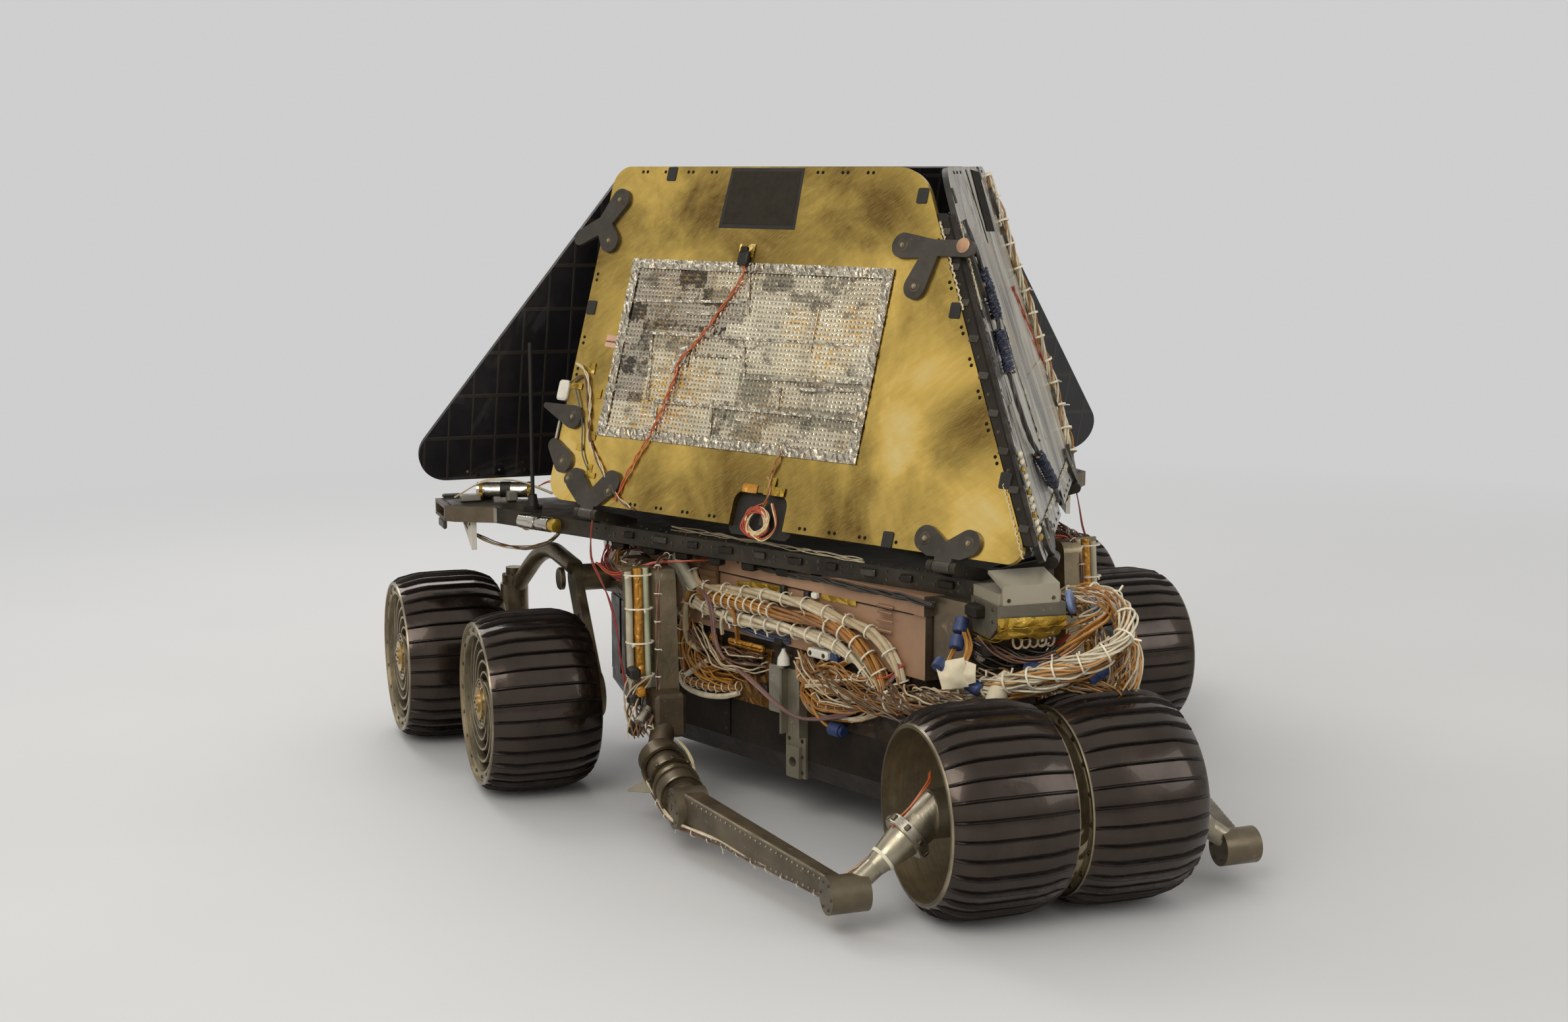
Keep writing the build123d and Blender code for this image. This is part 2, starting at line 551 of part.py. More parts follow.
def clevises(plane, hinges):
    """The deck's half of the hinges: two cheeks and a pin on a base plate."""
    outward = Vector(plane.z_dir.X, plane.z_dir.Y, 0).normalized()
    inner = KNUCKLE_WIDTH / 2 + CHEEK_GAP
    rise = HINGE_Z - DECK_TOP
    eye = HINGE_EYE_DIA / 2
    back, front = -DECK_EDGE_INSET - CLEVIS_BASE, -DECK_EDGE_INSET - SINK
    shapes = []
    for place, *unused in hinges:
        origin = plane.from_local_coords(Vector(place, 0, 0))
        frame = Plane(origin=origin, x_dir=outward, z_dir=outward.cross(Vector(0, 0, 1)))
        web = make_face(Polyline(
            (back, -rise),
            (front, -rise),
            (0, -eye),
            (0, eye - SINK),
            (back + CLEVIS_BASE / 2, -eye),
            (back, -rise + CLEVIS_BASE_THICKNESS),
            close=True))
        cheek_face = web + Circle(eye)
        shape = frame * Cylinder(HINGE_PIN_DIA / 2, 2 * (inner + CHEEK_WIDTH))
        for offset in (inner, -inner - CHEEK_WIDTH):
            shape += extrude(frame.offset(offset) * cheek_face, CHEEK_WIDTH, dir=frame.z_dir)
        shape += frame * Pos((back + front) / 2, -rise + CLEVIS_BASE_THICKNESS / 2, 0) * Box(
            front - back, CLEVIS_BASE_THICKNESS, 2 * (inner + CHEEK_WIDTH))
        shapes.append(shape)
    return shapes


def latches(plane, with_ridge_bar):
    """The latch plates that hold a wing to its neighbours, on the wing's outer face."""
    groups = [REAR_LATCH, NOSE_LATCH] + [(link,) for link in TIP_LATCH]
    if with_ridge_bar:
        groups[1] = (*NOSE_LATCH, RIDGE_BAR)
    shapes = []
    for first, *others in groups:
        face = strap(*first)
        for link in others:
            face += strap(*link)
        shapes.append(extrude(plane * face, BRACKET_THICKNESS, dir=plane.z_dir))
    return Compound(children=shapes)


def tip_panel(plane):
    """The small triangular panel folded against a wing's inner face, with its two hinge blocks."""
    points = [(TIP_FRONT, TIP_BOTTOM), (TIP_REAR, TIP_BOTTOM), (TIP_REAR, TIP_TOP)]
    face = rounded(points, (TIP_CORNER, TIP_CORNER, TIP_CORNER))
    depth = PANEL_THICKNESS + TIP_SPACING
    sheet = extrude(plane.offset(-depth - TIP_THICKNESS) * face, TIP_THICKNESS, dir=plane.z_dir)
    for height in TIP_BLOCK_HEIGHTS:
        block = Pos(TIP_REAR - TIP_BLOCK_INSET, height) * Rectangle(*TIP_BLOCK)
        sheet += extrude(plane.offset(-depth) * block, TIP_SPACING, dir=plane.z_dir)
    return sheet


def panels():
    plane = wing_plane()
    for side_name, side in SIDES:
        save(f"{side_name}_wing", on_side(panel(plane, wing_outline()), side))
        save(f"{side_name}_wing_hinges", on_side(knuckles(plane, WING_HINGES), side))
        save(f"{side_name}_wing_latches", on_side(latches(plane, side < 0), side))
        save(f"{side_name}_tip_panel", on_side(tip_panel(plane), side))
    save("rear_panel", panel(rear_plane(), rear_outline()))
    save("rear_panel_hinges", knuckles(rear_plane(), REAR_HINGES))
    brackets = clevises(rear_plane(), REAR_HINGES)
    for side_name, side in SIDES:
        brackets += [on_side(shape, side) for shape in clevises(plane, WING_HINGES)]
    save("deck_hinges", Compound(children=brackets))


# Suspension
def upright_plane(outer_y):
    """A frame across the rover's left side: x to the nose, y up, z towards the centreline."""
    return Plane(origin=(0, outer_y, 0), x_dir=(1, 0, 0), z_dir=(0, -1, 0))


def flat_bar(start, end, inner_y, thickness):
    """A tapered bar in an upright plane, from two circles given as x, z and radius."""
    plane = upright_plane(inner_y + thickness)
    return extrude(plane * strap(start, end), thickness, dir=plane.z_dir)


def pocket(start, end, outer_y, depth):
    """The space of a round-ended pocket along the middle of a bar, from the bar's two ends."""
    (x0, z0), (x1, z1) = start[:2], end[:2]
    near = (x0 + (x1 - x0) * 0.36, z0 + (z1 - z0) * 0.36, POCKET_RADIUS)
    far = (x0 + (x1 - x0) * 0.70, z0 + (z1 - z0) * 0.70, POCKET_RADIUS)
    return flat_bar(near, far, outer_y - depth, depth)


def cross_drum(place, diameter, start_y, end_y):
    """A round boss across the rover, at an (x, z) place."""
    return rod((place[0], start_y, place[1]), (place[0], end_y, place[1]), diameter)


def elbow_block():
    block = Pos(*ELBOW_PLACE) * Box(*ELBOW_SIZE)
    return chamfer(block.edges(), ELBOW_CHAMFER)


def rocker():
    outer_y = ROCKER_Y + ROCKER_THICKNESS
    places = (BOGIE_PIVOT, ROCKER_PIVOT, POST_TOP, POST_FOOT)
    circles = [(x, z, radius) for (x, z), radius in zip(places, ROCKER_RADII)]
    bars = [flat_bar(start, end, ROCKER_Y, ROCKER_THICKNESS) for start, end in zip(circles, circles[1:])]
    beam = bars[0] + bars[1] + bars[2]
    for start, end in ((circles[0], circles[1]), (circles[1], circles[2])):
        beam -= pocket(start, end, outer_y, POCKET_DEPTH)
    wall_y = BODY_STATIONS[0][1] + BODY_TIERS[1][1]
    beam += cross_drum(ROCKER_PIVOT, ROCKER_PIVOT_DIA, wall_y, ROCKER_Y + SINK)
    fin = [(x - FIN_OFFSET + shift, z) for x, z, shift in (
        (POST_TOP[0], FIN_TOP, -FIN_THICKNESS / 2), (POST_TOP[0], FIN_TOP, FIN_THICKNESS / 2),
        (POST_FOOT[0], FIN_FOOT, FIN_THICKNESS / 2), (POST_FOOT[0], FIN_FOOT, -FIN_THICKNESS / 2))]
    beam += slab(fin, FIN_Y - outer_y + SINK, upright_plane(FIN_Y))
    return beam - elbow_block()


def arm_direction():
    return (Vector(*ARM_MIDDLE) - Vector(*ARM_START)).normalized()


def elbow():
    neck = rod(ELBOW_PLACE, Vector(*ARM_START) * 1.5 - Vector(*ELBOW_PLACE) * 0.5, ELBOW_NECK_DIA)
    neck = split(neck, bisect_by=Plane(origin=ARM_START, z_dir=arm_direction()), keep=Keep.BOTTOM)
    return elbow_block() + neck


def front_arm():
    actuator = turned(ARM_START, arm_direction(), ARM_ACTUATOR)
    x, y, z = ARM_MIDDLE
    drum = rod((x, y - ARM_DRUM_LENGTH / 2, z), (x, y + ARM_DRUM_LENGTH / 2, z), ARM_DRUM_DIA)
    along = Vector(*KNEE_PLACE) - Vector(*ARM_MIDDLE)
    start = Plane(origin=ARM_MIDDLE, x_dir=(0, 1, 0), z_dir=along)
    box_arm = loft([
        start * RectangleRounded(*ARM_SECTIONS[0], 6),
        start.offset(along.length) * RectangleRounded(*ARM_SECTIONS[1], 6),
    ])
    x, y, z = KNEE_PLACE
    knee = rod((x, y - KNEE_LENGTH / 2, z), (x, y + KNEE_LENGTH / 2, z), KNEE_DIA)
    return actuator + drum + box_arm + knee


def rear_fork(leg_y, rear):
    """Cap, shaft and short leg that carry a rear wheel below its steering actuator."""
    cap_top = STEER_ACTUATOR_BOTTOM - FORK_TOP_GAP
    shaft_top = STEER_ACTUATOR_BOTTOM + STEER_SHAFT_REACH
    fork = rod((REAR_X, STEER_AXIS_Y, cap_top - FORK_CAP_THICKNESS), (REAR_X, STEER_AXIS_Y, cap_top), FORK_CAP_DIA)
    fork += rod((REAR_X, STEER_AXIS_Y, cap_top - SINK), (REAR_X, STEER_AXIS_Y, shaft_top), STEER_SHAFT_DIA)
    leg_height = cap_top - AXLE_Z
    fork += Pos(REAR_X, leg_y + CARRIER_THICKNESS / 2, AXLE_Z + leg_height / 2) * Box(
        FORK_WIDTH, CARRIER_THICKNESS, leg_height)
    return fork + rear * carrier()


def suspension():
    front, middle, rear = [wheel_plane(x, y, open_out) for name, x, y, open_out in WHEELS]
    strut = turned(KNEE_PLACE, Vector(*STRUT_END) - Vector(*KNEE_PLACE), STRUT)
    front_drive = front * drive_unit(FRONT_MOTOR_START) + (strut - front_arm())
    unit = drive_unit(CARRIER_OUTER_Z)
    leg_y = MIDDLE_Y + CARRIER_INNER_Z
    pivot = (*BOGIE_PIVOT, BOGIE_LEG_RADII[0])
    axle = (MIDDLE_X, AXLE_Z, BOGIE_LEG_RADII[1])
    bogie = flat_bar(pivot, axle, leg_y, CARRIER_THICKNESS)
    bogie -= pocket(pivot, axle, leg_y + CARRIER_THICKNESS, CARRIER_THICKNESS)
    bogie += middle * carrier()
    bogie += cross_drum(BOGIE_PIVOT, BOGIE_PIVOT_DIA, ROCKER_Y + ROCKER_THICKNESS, leg_y + SINK)
    steer_foot = (REAR_X, STEER_AXIS_Y, STEER_ACTUATOR_BOTTOM)
    actuator = turned(steer_foot, (0, 0, 1), STEER_ACTUATOR)
    bogie += tube(BOGIE_ARM_ROUTE, BOGIE_ARM_DIA) - actuator
    socket = rod(steer_foot, (REAR_X, STEER_AXIS_Y, STEER_ACTUATOR_BOTTOM + STEER_SHAFT_REACH + SINK),
                 STEER_SHAFT_DIA + 2 * SHAFT_GAP)
    pieces = (
        ("rocker", rocker()),
        ("elbow", elbow()),
        ("front_arm", front_arm()),
        ("front_drive", front_drive),
        ("bogie", bogie),
        ("middle_drive", middle * unit),
        ("steering_actuator", actuator - socket),
        ("rear_fork", rear_fork(REAR_Y + CARRIER_INNER_Z, rear)),
        ("rear_drive", rear * unit),
    )
    for side_name, side in SIDES:
        for name, shape in pieces:
            save(f"{side_name}_{name}", on_side(shape, side))


# Wiring
def wall_plane(offset):
    """The left front wall's frame: x along it towards the rear, y up, z outwards."""
    (x0, y0), (x1, y1) = BODY_STATIONS[2], BODY_STATIONS[3]
    along = Vector(x1 - x0, y1 - y0, 0).normalized()
    outward = Vector(-along.Y, along.X, 0)
    return Plane(origin=Vector(x0, y0, 0) + outward * offset, x_dir=along * -1, z_dir=outward)


def wiring():
    """The bundles of wires on the front walls and the one that loops round the nose."""
    bundles = []
    for diameter, proud, route in HARNESS_ROUTES:
        plane = wall_plane(proud + diameter / 2 + SEAT_GAP)
        points = [plane.from_local_coords(Vector(-along, up, 0)) for along, up in route]
        bundles.append(tube([tuple(point) for point in points], diameter))
    for side_name, side in SIDES:
        save(f"{side_name}_harness", on_side(Compound(children=bundles), side))
    save("nose_harness", tube(NOSE_HARNESS_ROUTE, NOSE_HARNESS_DIA))


# Nose and fittings on the body
def nose():
    plan = Plane.XY.offset(NOSE_BOX_BOTTOM)
    near, far = NOSE_BOX_HALF_WIDTHS
    save("nose_box", slab([(NOSE_X, -near), (NOSE_BOX_END, -far), (NOSE_BOX_END, far), (NOSE_X, near)],
                          DECK_BOTTOM - NOSE_BOX_BOTTOM, plan))
    length, width, thickness = TONGUE
    tongue_bottom = DECK_TOP - thickness
    bottom, front_bottom = CAMERA_BOX_HEIGHTS
    side_view = [(NOSE_BOX_END, bottom), (CAMERA_BOX_END - CAMERA_BOX_FACE, bottom), (CAMERA_BOX_END, front_bottom),
                 (CAMERA_BOX_END, tongue_bottom), (NOSE_BOX_END, tongue_bottom)]
    save("front_camera_box", slab(side_view, 2 * CAMERA_BOX_HALF_WIDTH, upright_plane(CAMERA_BOX_HALF_WIDTH)))
    plate = Pos(DECK_NOSE_X, 0, DECK_TOP) * Box(length, width, thickness, align=(Align.MIN, Align.CENTER, Align.MAX))
    front = DECK_NOSE_X + length
    outer = front + APRON_THICKNESS
    profile = [(front, APRON_BOTTOM), (outer, APRON_BOTTOM), (outer, APRON_BEND),
               (HOOD_BACK, HOOD_TOP), (HOOD_BACK, HOOD_TOP - APRON_THICKNESS), (front, APRON_BEND - APRON_THICKNESS)]
    plate += slab(profile, 2 * APRON_HALF_WIDTH, upright_plane(APRON_HALF_WIDTH))
    save("nose_plate", plate)


def side_bracket():
    """The channel that stands on the left front wall, with a drilled tab at its foot."""
    place, bottom = SIDE_BRACKET_PLACE
    width, thickness, height = SIDE_BRACKET
    flange_width, flange_depth, flange_height = SIDE_BRACKET_FLANGE
    tab_width, tab_depth, tab_height = SIDE_BRACKET_TAB
    foot = wall_plane(0) * Pos(-place, bottom, 0)
    shape = foot * Pos(0, height / 2, thickness / 2) * Box(width, height, thickness)
    for side in (-1, 1):
        shape += foot * Pos(side * (width - flange_width) / 2, height - flange_height / 2, flange_depth / 2) * Box(
            flange_width, flange_height, flange_depth)
    shape += foot * Pos(0, tab_height / 2, tab_depth / 2) * Box(tab_width, tab_height, tab_depth)
    hole = foot * Pos(0, tab_height / 2, tab_depth / 2) * Cylinder(SIDE_BRACKET_HOLE / 2, 2 * tab_depth)
    return shape - hole


def hinge_motor_pair():
    """The two round motors at a deck ear, each on its own foot."""
    shape = []
    for (diameter, start, end), deck_face in zip(HINGE_MOTORS, (DECK_TOP, DECK_BOTTOM)):
        middle = (Vector(*start) + Vector(*end)) / 2
        turn = degrees(atan2(end[1] - start[1], end[0] - start[0]))
        height = abs(middle.Z - deck_face)
        foot = Pos(middle.X, middle.Y, (middle.Z + deck_face) / 2) * Rot(0, 0, turn) * Box(
            HINGE_MOTOR_FOOT, diameter * 0.6, height)
        shape.append(rod(start, end, diameter) + foot)
    return Compound(children=shape)


def gusset():
    """The white triangular plate under a deck ear."""
    front = EAR_X + GUSSET_INSET
    points = [(front, DECK_BOTTOM), (front + GUSSET_LENGTH, DECK_BOTTOM),
              (front + GUSSET_LENGTH, DECK_BOTTOM - GUSSET_DROP)]
    return slab(points, GUSSET_THICKNESS, upright_plane(GUSSET_Y + GUSSET_THICKNESS))


def fittings():
    for name, shape in (("wall_brackets", side_bracket()), ("deck_gussets", gusset()),
                        ("hinge_motors", hinge_motor_pair())):
        save(name, Compound(children=[on_side(shape, side) for side_name, side in SIDES]))
    length, width, height = REAR_CAMERA_BOX
    wall_x = BODY_STATIONS[0][0] - BODY_TIERS[-1][1]
    middle_z = DECK_BOTTOM - height / 2
    box = Pos(wall_x - length / 2, 0, middle_z) * Box(length, width, height)
    for y in (-REAR_LENS_Y, REAR_LENS_Y):
        face_x = wall_x - length
        box += rod((face_x + SINK, y, middle_z), (face_x - REAR_LENS_LENGTH, y, middle_z), REAR_LENS_DIA)
    save("rear_camera_box", box)


# Deck equipment
def equipment():
    x, y, z = MAST_START
    mast = turned(MAST_START, (1, 0, 0), MAST)
    for rest_x in MAST_RESTS_X:
        mast += Pos(rest_x, 0, DECK_TOP) * Box(*MAST_REST, z - DECK_TOP, align=STANDING)
    save("mast", mast)
    bar_x = x - CAMERA_BAR[0] / 2
    bar = Pos(bar_x, 0, z) * Box(*CAMERA_BAR)
    for barrel_y, diameter, length in CAMERA_BARRELS:
        face_x = x - CAMERA_BAR[0]
        for side_name, side in SIDES:
            bar += rod((face_x + SINK, side * barrel_y, z), (face_x - length, side * barrel_y, z), diameter)
    save("camera_bar", bar)
    for name, place, outline in (("high_gain_antenna", HGA_PLACE, HGA), ("low_gain_antenna", LGA_PLACE, LGA),
                                 ("whip_antenna", WHIP_PLACE, WHIP)):
        save(name, turned(place, (0, 0, 1), outline))
    target = Pos(*TARGET_PLACE) * Box(*TARGET_BASE, align=STANDING)
    save("calibration_target", target + turned(TARGET_PLACE, (0, 0, 1), TARGET))


wheels()
save("body_shell", body_shell())
save("deck", deck())
panels()
suspension()
wiring()
nose()
fittings()
equipment()
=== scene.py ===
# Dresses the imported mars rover: finishes for its nodes, then the wires, tapes, lacing, bolts and
# tags that the solids leave out. Metres. +X points to the nose, +Y to the rover's left, +Z up.
import json
from math import cos, hypot, pi, radians, sin, tan

import bmesh
import bpy
from bpy.props import FloatProperty, FloatVectorProperty, IntProperty, PointerProperty
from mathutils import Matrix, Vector, noise


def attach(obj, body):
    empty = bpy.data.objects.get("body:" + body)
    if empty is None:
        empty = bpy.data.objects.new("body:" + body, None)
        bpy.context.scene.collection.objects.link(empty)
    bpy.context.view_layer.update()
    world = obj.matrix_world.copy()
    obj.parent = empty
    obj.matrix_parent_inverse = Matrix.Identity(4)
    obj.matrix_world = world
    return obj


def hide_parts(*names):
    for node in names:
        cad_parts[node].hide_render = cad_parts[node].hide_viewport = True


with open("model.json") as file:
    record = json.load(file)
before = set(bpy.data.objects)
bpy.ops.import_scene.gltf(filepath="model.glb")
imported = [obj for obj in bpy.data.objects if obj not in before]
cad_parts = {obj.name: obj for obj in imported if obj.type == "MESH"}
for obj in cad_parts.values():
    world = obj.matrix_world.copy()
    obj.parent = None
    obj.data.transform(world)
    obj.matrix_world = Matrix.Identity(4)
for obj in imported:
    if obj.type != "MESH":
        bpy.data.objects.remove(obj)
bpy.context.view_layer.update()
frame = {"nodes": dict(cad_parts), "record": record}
NODES = frame["nodes"]

bl_info = {
    "name": "Folded Mars Rover",
    "version": (1, 0, 0),
    "blender": (4, 5, 0),
    "location": "View3D > Sidebar > Rover",
    "description": "Finishes and fine detail for a six-wheeled rover with folded solar panels",
    "category": "Add Mesh",
}

MM = 0.001
SIDES = (("left", 1), ("right", -1))


class Face:
    """A flat face's own frame. Places on it are in millimetres: along it, up it and off it."""

    def __init__(self, origin, along, up, off):
        self.origin, self.along, self.up, self.off = Vector(origin), Vector(along), Vector(up), Vector(off)

    def at(self, x, y, lift=0.0):
        return self.origin + (self.along * x + self.up * y + self.off * lift) * MM

    def way(self, points):
        return [self.at(*point) for point in points]

    def axes(self):
        return self.along, self.up, self.off


class Half:
    """One side of the rover. What is given for the left is mirrored for the right."""

    def __init__(self, sign):
        self.sign = sign

    def way(self, x, y, z):
        return Vector((x, self.sign * y, z))

    def at(self, x, y, z):
        return self.way(x, y, z) * MM


# The folded panels' outer faces: along the hinge line, up the slant and outwards
TENT_X, HINGE_INRADIUS, HINGE_Z = -0.152, 0.333, 0.400
LEAN = radians(18)


def panel_face(heading, origin_x, along):
    """The outer face of a panel that leans inwards from its hinge line."""
    out = Vector((cos(heading), sin(heading), 0))
    up = Vector((0, 0, cos(LEAN))) - out * sin(LEAN)
    off = out * cos(LEAN) + Vector((0, 0, sin(LEAN)))
    return Face((origin_x, 0, HINGE_Z), along, up, off)


WING = {name: panel_face(side * radians(60), TENT_X + 2 * HINGE_INRADIUS, (-sin(radians(60)), side * 0.5, 0))
        for name, side in SIDES}
REAR = panel_face(pi, TENT_X - HINGE_INRADIUS, (0, -1, 0))
NOSE_EDGE, NOSE_SLOPE = 20.0, tan(radians(29.07))

# The body's front walls: along from their rear end towards the nose, up and outwards
WALL_REAR, WALL_FRONT = Vector((-0.056, 0.235, 0)), Vector((0.315, 0.086, 0))


def wall_face(side):
    along = (WALL_FRONT - WALL_REAR).normalized()
    half = Half(side)
    return Face(half.way(*WALL_REAR), half.way(*along), (0, 0, 1), half.way(-along.y, along.x, 0))


WALL = {name: wall_face(side) for name, side in SIDES}

# Wheels: the axle's place, and +1 where the hub looks to the rover's left
WHEELS = {f"{name}_{side_name}": (Vector((x, side * y, 0.130)), side * hub_out)
          for name, x, y, hub_out in (("front", 0.517, 0.088, -1), ("middle", -0.182, 0.473, 1),
                                      ("rear", -0.517, 0.530, 1))
          for side_name, side in SIDES}


def tint(name, description, default):
    return FloatVectorProperty(name=name, description=description, subtype="COLOR", size=3, min=0, max=1,
                               default=default)


# Settings that a user would change
class RoverPaint(bpy.types.PropertyGroup):
    gold: tint("Gold plate", "Bright tone of the gold panels", (0.74, 0.50, 0.12))
    # the deep tone also darkens the gold's painted reflections
    gold_shade: tint("Gold shade", "Deep tone of the gold panels", (0.23, 0.135, 0.03))
    deck_frame: tint("Deck frame", "Colour of the deck's dark frame", (0.040, 0.032, 0.022))
    hull_film: tint("Hull film", "Colour of the film on the lower hull", (0.018, 0.012, 0.008))
    upper_tier: tint("Upper tier", "Colour of the body's bare upper tier", (0.37, 0.215, 0.125))
    titanium: tint("Titanium", "Colour of the legs and arms", (0.20, 0.16, 0.10))
    wheel: tint("Wheel", "Colour of the wheels' anodised skin", (0.050, 0.036, 0.028))


class RoverWiring(bpy.types.PropertyGroup):
    tie_spacing: FloatProperty(
        name="Tie spacing", description="Distance between the ties round a bundle", default=0.024,
        min=0.005, unit="LENGTH")
    cleats: IntProperty(name="Cleats", description="How many cleats each wheel has", default=32, min=3)


class RoverStage(bpy.types.PropertyGroup):
    lens: FloatProperty(
        name="Lens", description="Focal length of the camera, in millimetres", default=48.75, min=10)
    camera_place: FloatVectorProperty(
        name="Camera", description="Where the camera stands", subtype="TRANSLATION", unit="LENGTH",
        size=3, default=(2.751, -1.130, 0.893))
    camera_aim: FloatVectorProperty(
        name="Aim", description="Direction in which the camera looks", subtype="DIRECTION",
        size=3, default=(-0.9295, 0.3316, -0.1614))
    floor_tone: FloatProperty(
        name="Floor tone", description="Lightness of the floor and the background", default=0.62,
        min=0, max=1, subtype="FACTOR")
    light_level: FloatProperty(
        name="Light level", description="Strength of the studio light", default=1.0, min=0)


# Node trees
class Graph:
    """Short calls that shader trees and geometry trees share."""

    def node(self, kind, values=None, **settings):
        made = self.tree.nodes.new(kind)
        for key, value in settings.items():
            setattr(made, key, value)
        for key, value in (values or {}).items():
            if isinstance(value, bpy.types.NodeSocket):
                self.tree.links.new(value, made.inputs[key])
            else:
                made.inputs[key].default_value = value
        return made

    def sums(self, operation, a, b=0.0):
        return self.node("ShaderNodeMath", {0: a, 1: b}, operation=operation).outputs[0]

    def band(self, value, low, high, start=0.0, end=1.0):
        """Spreads a part of a value's range over another range, and holds the ends."""
        return self.node("ShaderNodeMapRange", {
            "Value": value, "From Min": low, "From Max": high, "To Min": start, "To Max": end}).outputs[0]

    def vector(self, x=0.0, y=0.0, z=0.0):
        return self.node("ShaderNodeCombineXYZ", {"X": x, "Y": y, "Z": z}).outputs[0]

    def scale(self, vector, factor):
        return self.node("ShaderNodeVectorMath", {0: vector, "Scale": factor}, operation="SCALE").outputs[0]

    def plus(self, *vectors):
        total = vectors[0]
        for vector in vectors[1:]:
            total = self.node("ShaderNodeVectorMath", {0: total, 1: vector}, operation="ADD").outputs[0]
        return total


class Finish(Graph):
    """A material under construction."""

    def __init__(self, name, color=(0.5, 0.5, 0.5), metal=0.0, rough=0.5, gloss=0.5, **sockets):
        self.material = bpy.data.materials.new(name)
        self.material.use_nodes = True
        self.tree = self.material.node_tree
        self.shader = self.tree.nodes["Principled BSDF"]
        self.shader.inputs["Base Color"].default_value = (*color, 1)
        self.shader.inputs["Metallic"].default_value = metal
        self.shader.inputs["Roughness"].default_value = rough
        self.shader.inputs["Specular IOR Level"].default_value = gloss
        for label, value in sockets.items():
            self.shader.inputs[label.replace("_", " ").title()].default_value = value
        self.place = self.node("ShaderNodeTexCoord").outputs["Object"]

    def to(self, value, name):
        self.tree.links.new(value, self.shader.inputs[name])

    def moved(self, scale):
        return self.node("ShaderNodeMapping", {"Vector": self.place, "Scale": scale}).outputs[0]

    def across(self, direction):
        """The place measured along a direction, in metres."""
        return self.node("ShaderNodeVectorMath", {0: self.place, 1: tuple(direction)},
                         operation="DOT_PRODUCT").outputs["Value"]

    def plane(self, along, up, stretch=(1, 1)):
        """Coordinates on a flat face, from its two directions."""
        return self.vector(self.sums("MULTIPLY", self.across(along), stretch[0]),
                           self.sums("MULTIPLY", self.across(up), stretch[1]))

    def noise(self, scale, detail=3.0, rough=0.5, place=None, warp=0.0):
        return self.node("ShaderNodeTexNoise", {
            "Vector": place or self.place, "Scale": scale, "Detail": detail, "Roughness": rough,
            "Distortion": warp}).outputs["Fac"]

    def cells(self, scale, feature):
        return self.node("ShaderNodeTexVoronoi", {"Vector": self.place, "Scale": scale},
                         feature=feature).outputs["Distance"]

    def waves(self, value, pitch):
        """A smooth wave between 0 and 1 that repeats every pitch metres."""
        return self.band(self.sums("SINE", self.sums("MULTIPLY", value, 2 * pi / pitch)), -1, 1)

    def blend(self, factor, a, b):
        """Mixes two colours, each a triple or a socket."""
        made = self.node("ShaderNodeMix", data_type="RGBA")
        for key, value in ((0, factor), (6, a), (7, b)):
            if isinstance(value, bpy.types.NodeSocket):
                self.tree.links.new(value, made.inputs[key])
            else:
                made.inputs[key].default_value = (*value, 1) if key else value
        return made.outputs[2]

    def bump(self, height, distance, strength=1.0, under=None):
        values = {"Height": height, "Distance": distance, "Strength": strength}
        if under:
            values["Normal"] = under
        return self.node("ShaderNodeBump", values).outputs[0]


def scaled(color, factor):
    return tuple(min(1.0, c * factor) for c in color)


def brushed_gold(name, paint, face, tilt, painted_reflections=()):
    """Polished gold plate: smoky clouds, partly real tarnish and partly painted reflection, lighter and
    darker painted reflections at given spots, and a near-white painted highlight at the lightest tone, under
    fine slanting brush marks.
    """
    f = Finish(name, paint.gold, 1.0, 0.3)
    along = face.along * cos(radians(tilt)) + face.up * sin(radians(tilt))
    aside = face.up * cos(radians(tilt)) - face.along * sin(radians(tilt))
    place = f.plane(face.along, face.up)
    smoke = f.noise(5.0, 5, 0.6, place, 0.7)
    streak = f.noise(1.0, 3, 0.6, f.plane(along, aside, (14, 130)))
    grain = f.noise(1.0, 2, 0.6, f.plane(along, aside, (70, 1100)))
    tone = f.sums("ADD", smoke, f.sums("MULTIPLY", f.sums("SUBTRACT", streak, 0.5), 0.10))
    # each spot is a painted reflection: lighter where its gain is positive, darker where it is negative
    for x, y, radius, gain in painted_reflections:
        spot = Vector((face.origin.dot(face.along) + x * MM, face.origin.dot(face.up) + y * MM, 0))
        away = f.node("ShaderNodeVectorMath", {0: place, 1: spot}, operation="DISTANCE").outputs["Value"]
        tone = f.sums("ADD", tone, f.band(away, 0.0, radius * MM, gain, 0.0))
    # the clouds' dark and light tones are partly real tarnish and partly painted reflection
    deep = f.blend(f.band(tone, 0.32, 0.50), scaled(paint.gold_shade, 0.75), scaled(paint.gold, 0.62))
    color = f.blend(f.band(tone, 0.49, 0.68), deep, scaled(paint.gold, 1.15))
    # the lightest tone turns near white: a painted highlight
    color = f.blend(f.band(tone, 0.66, 0.90), color, (0.95, 0.78, 0.40))
    f.to(f.blend(f.band(grain, 0.45, 0.8, 0, 0.3), color, (0.9, 0.72, 0.34)), "Base Color")
    f.to(f.band(tone, 0.35, 0.65, 0.36, 0.2), "Roughness")
    f.to(f.bump(grain, 0.0004, 0.35, f.bump(smoke, 0.02, 0.10)), "Normal")
    return f.material


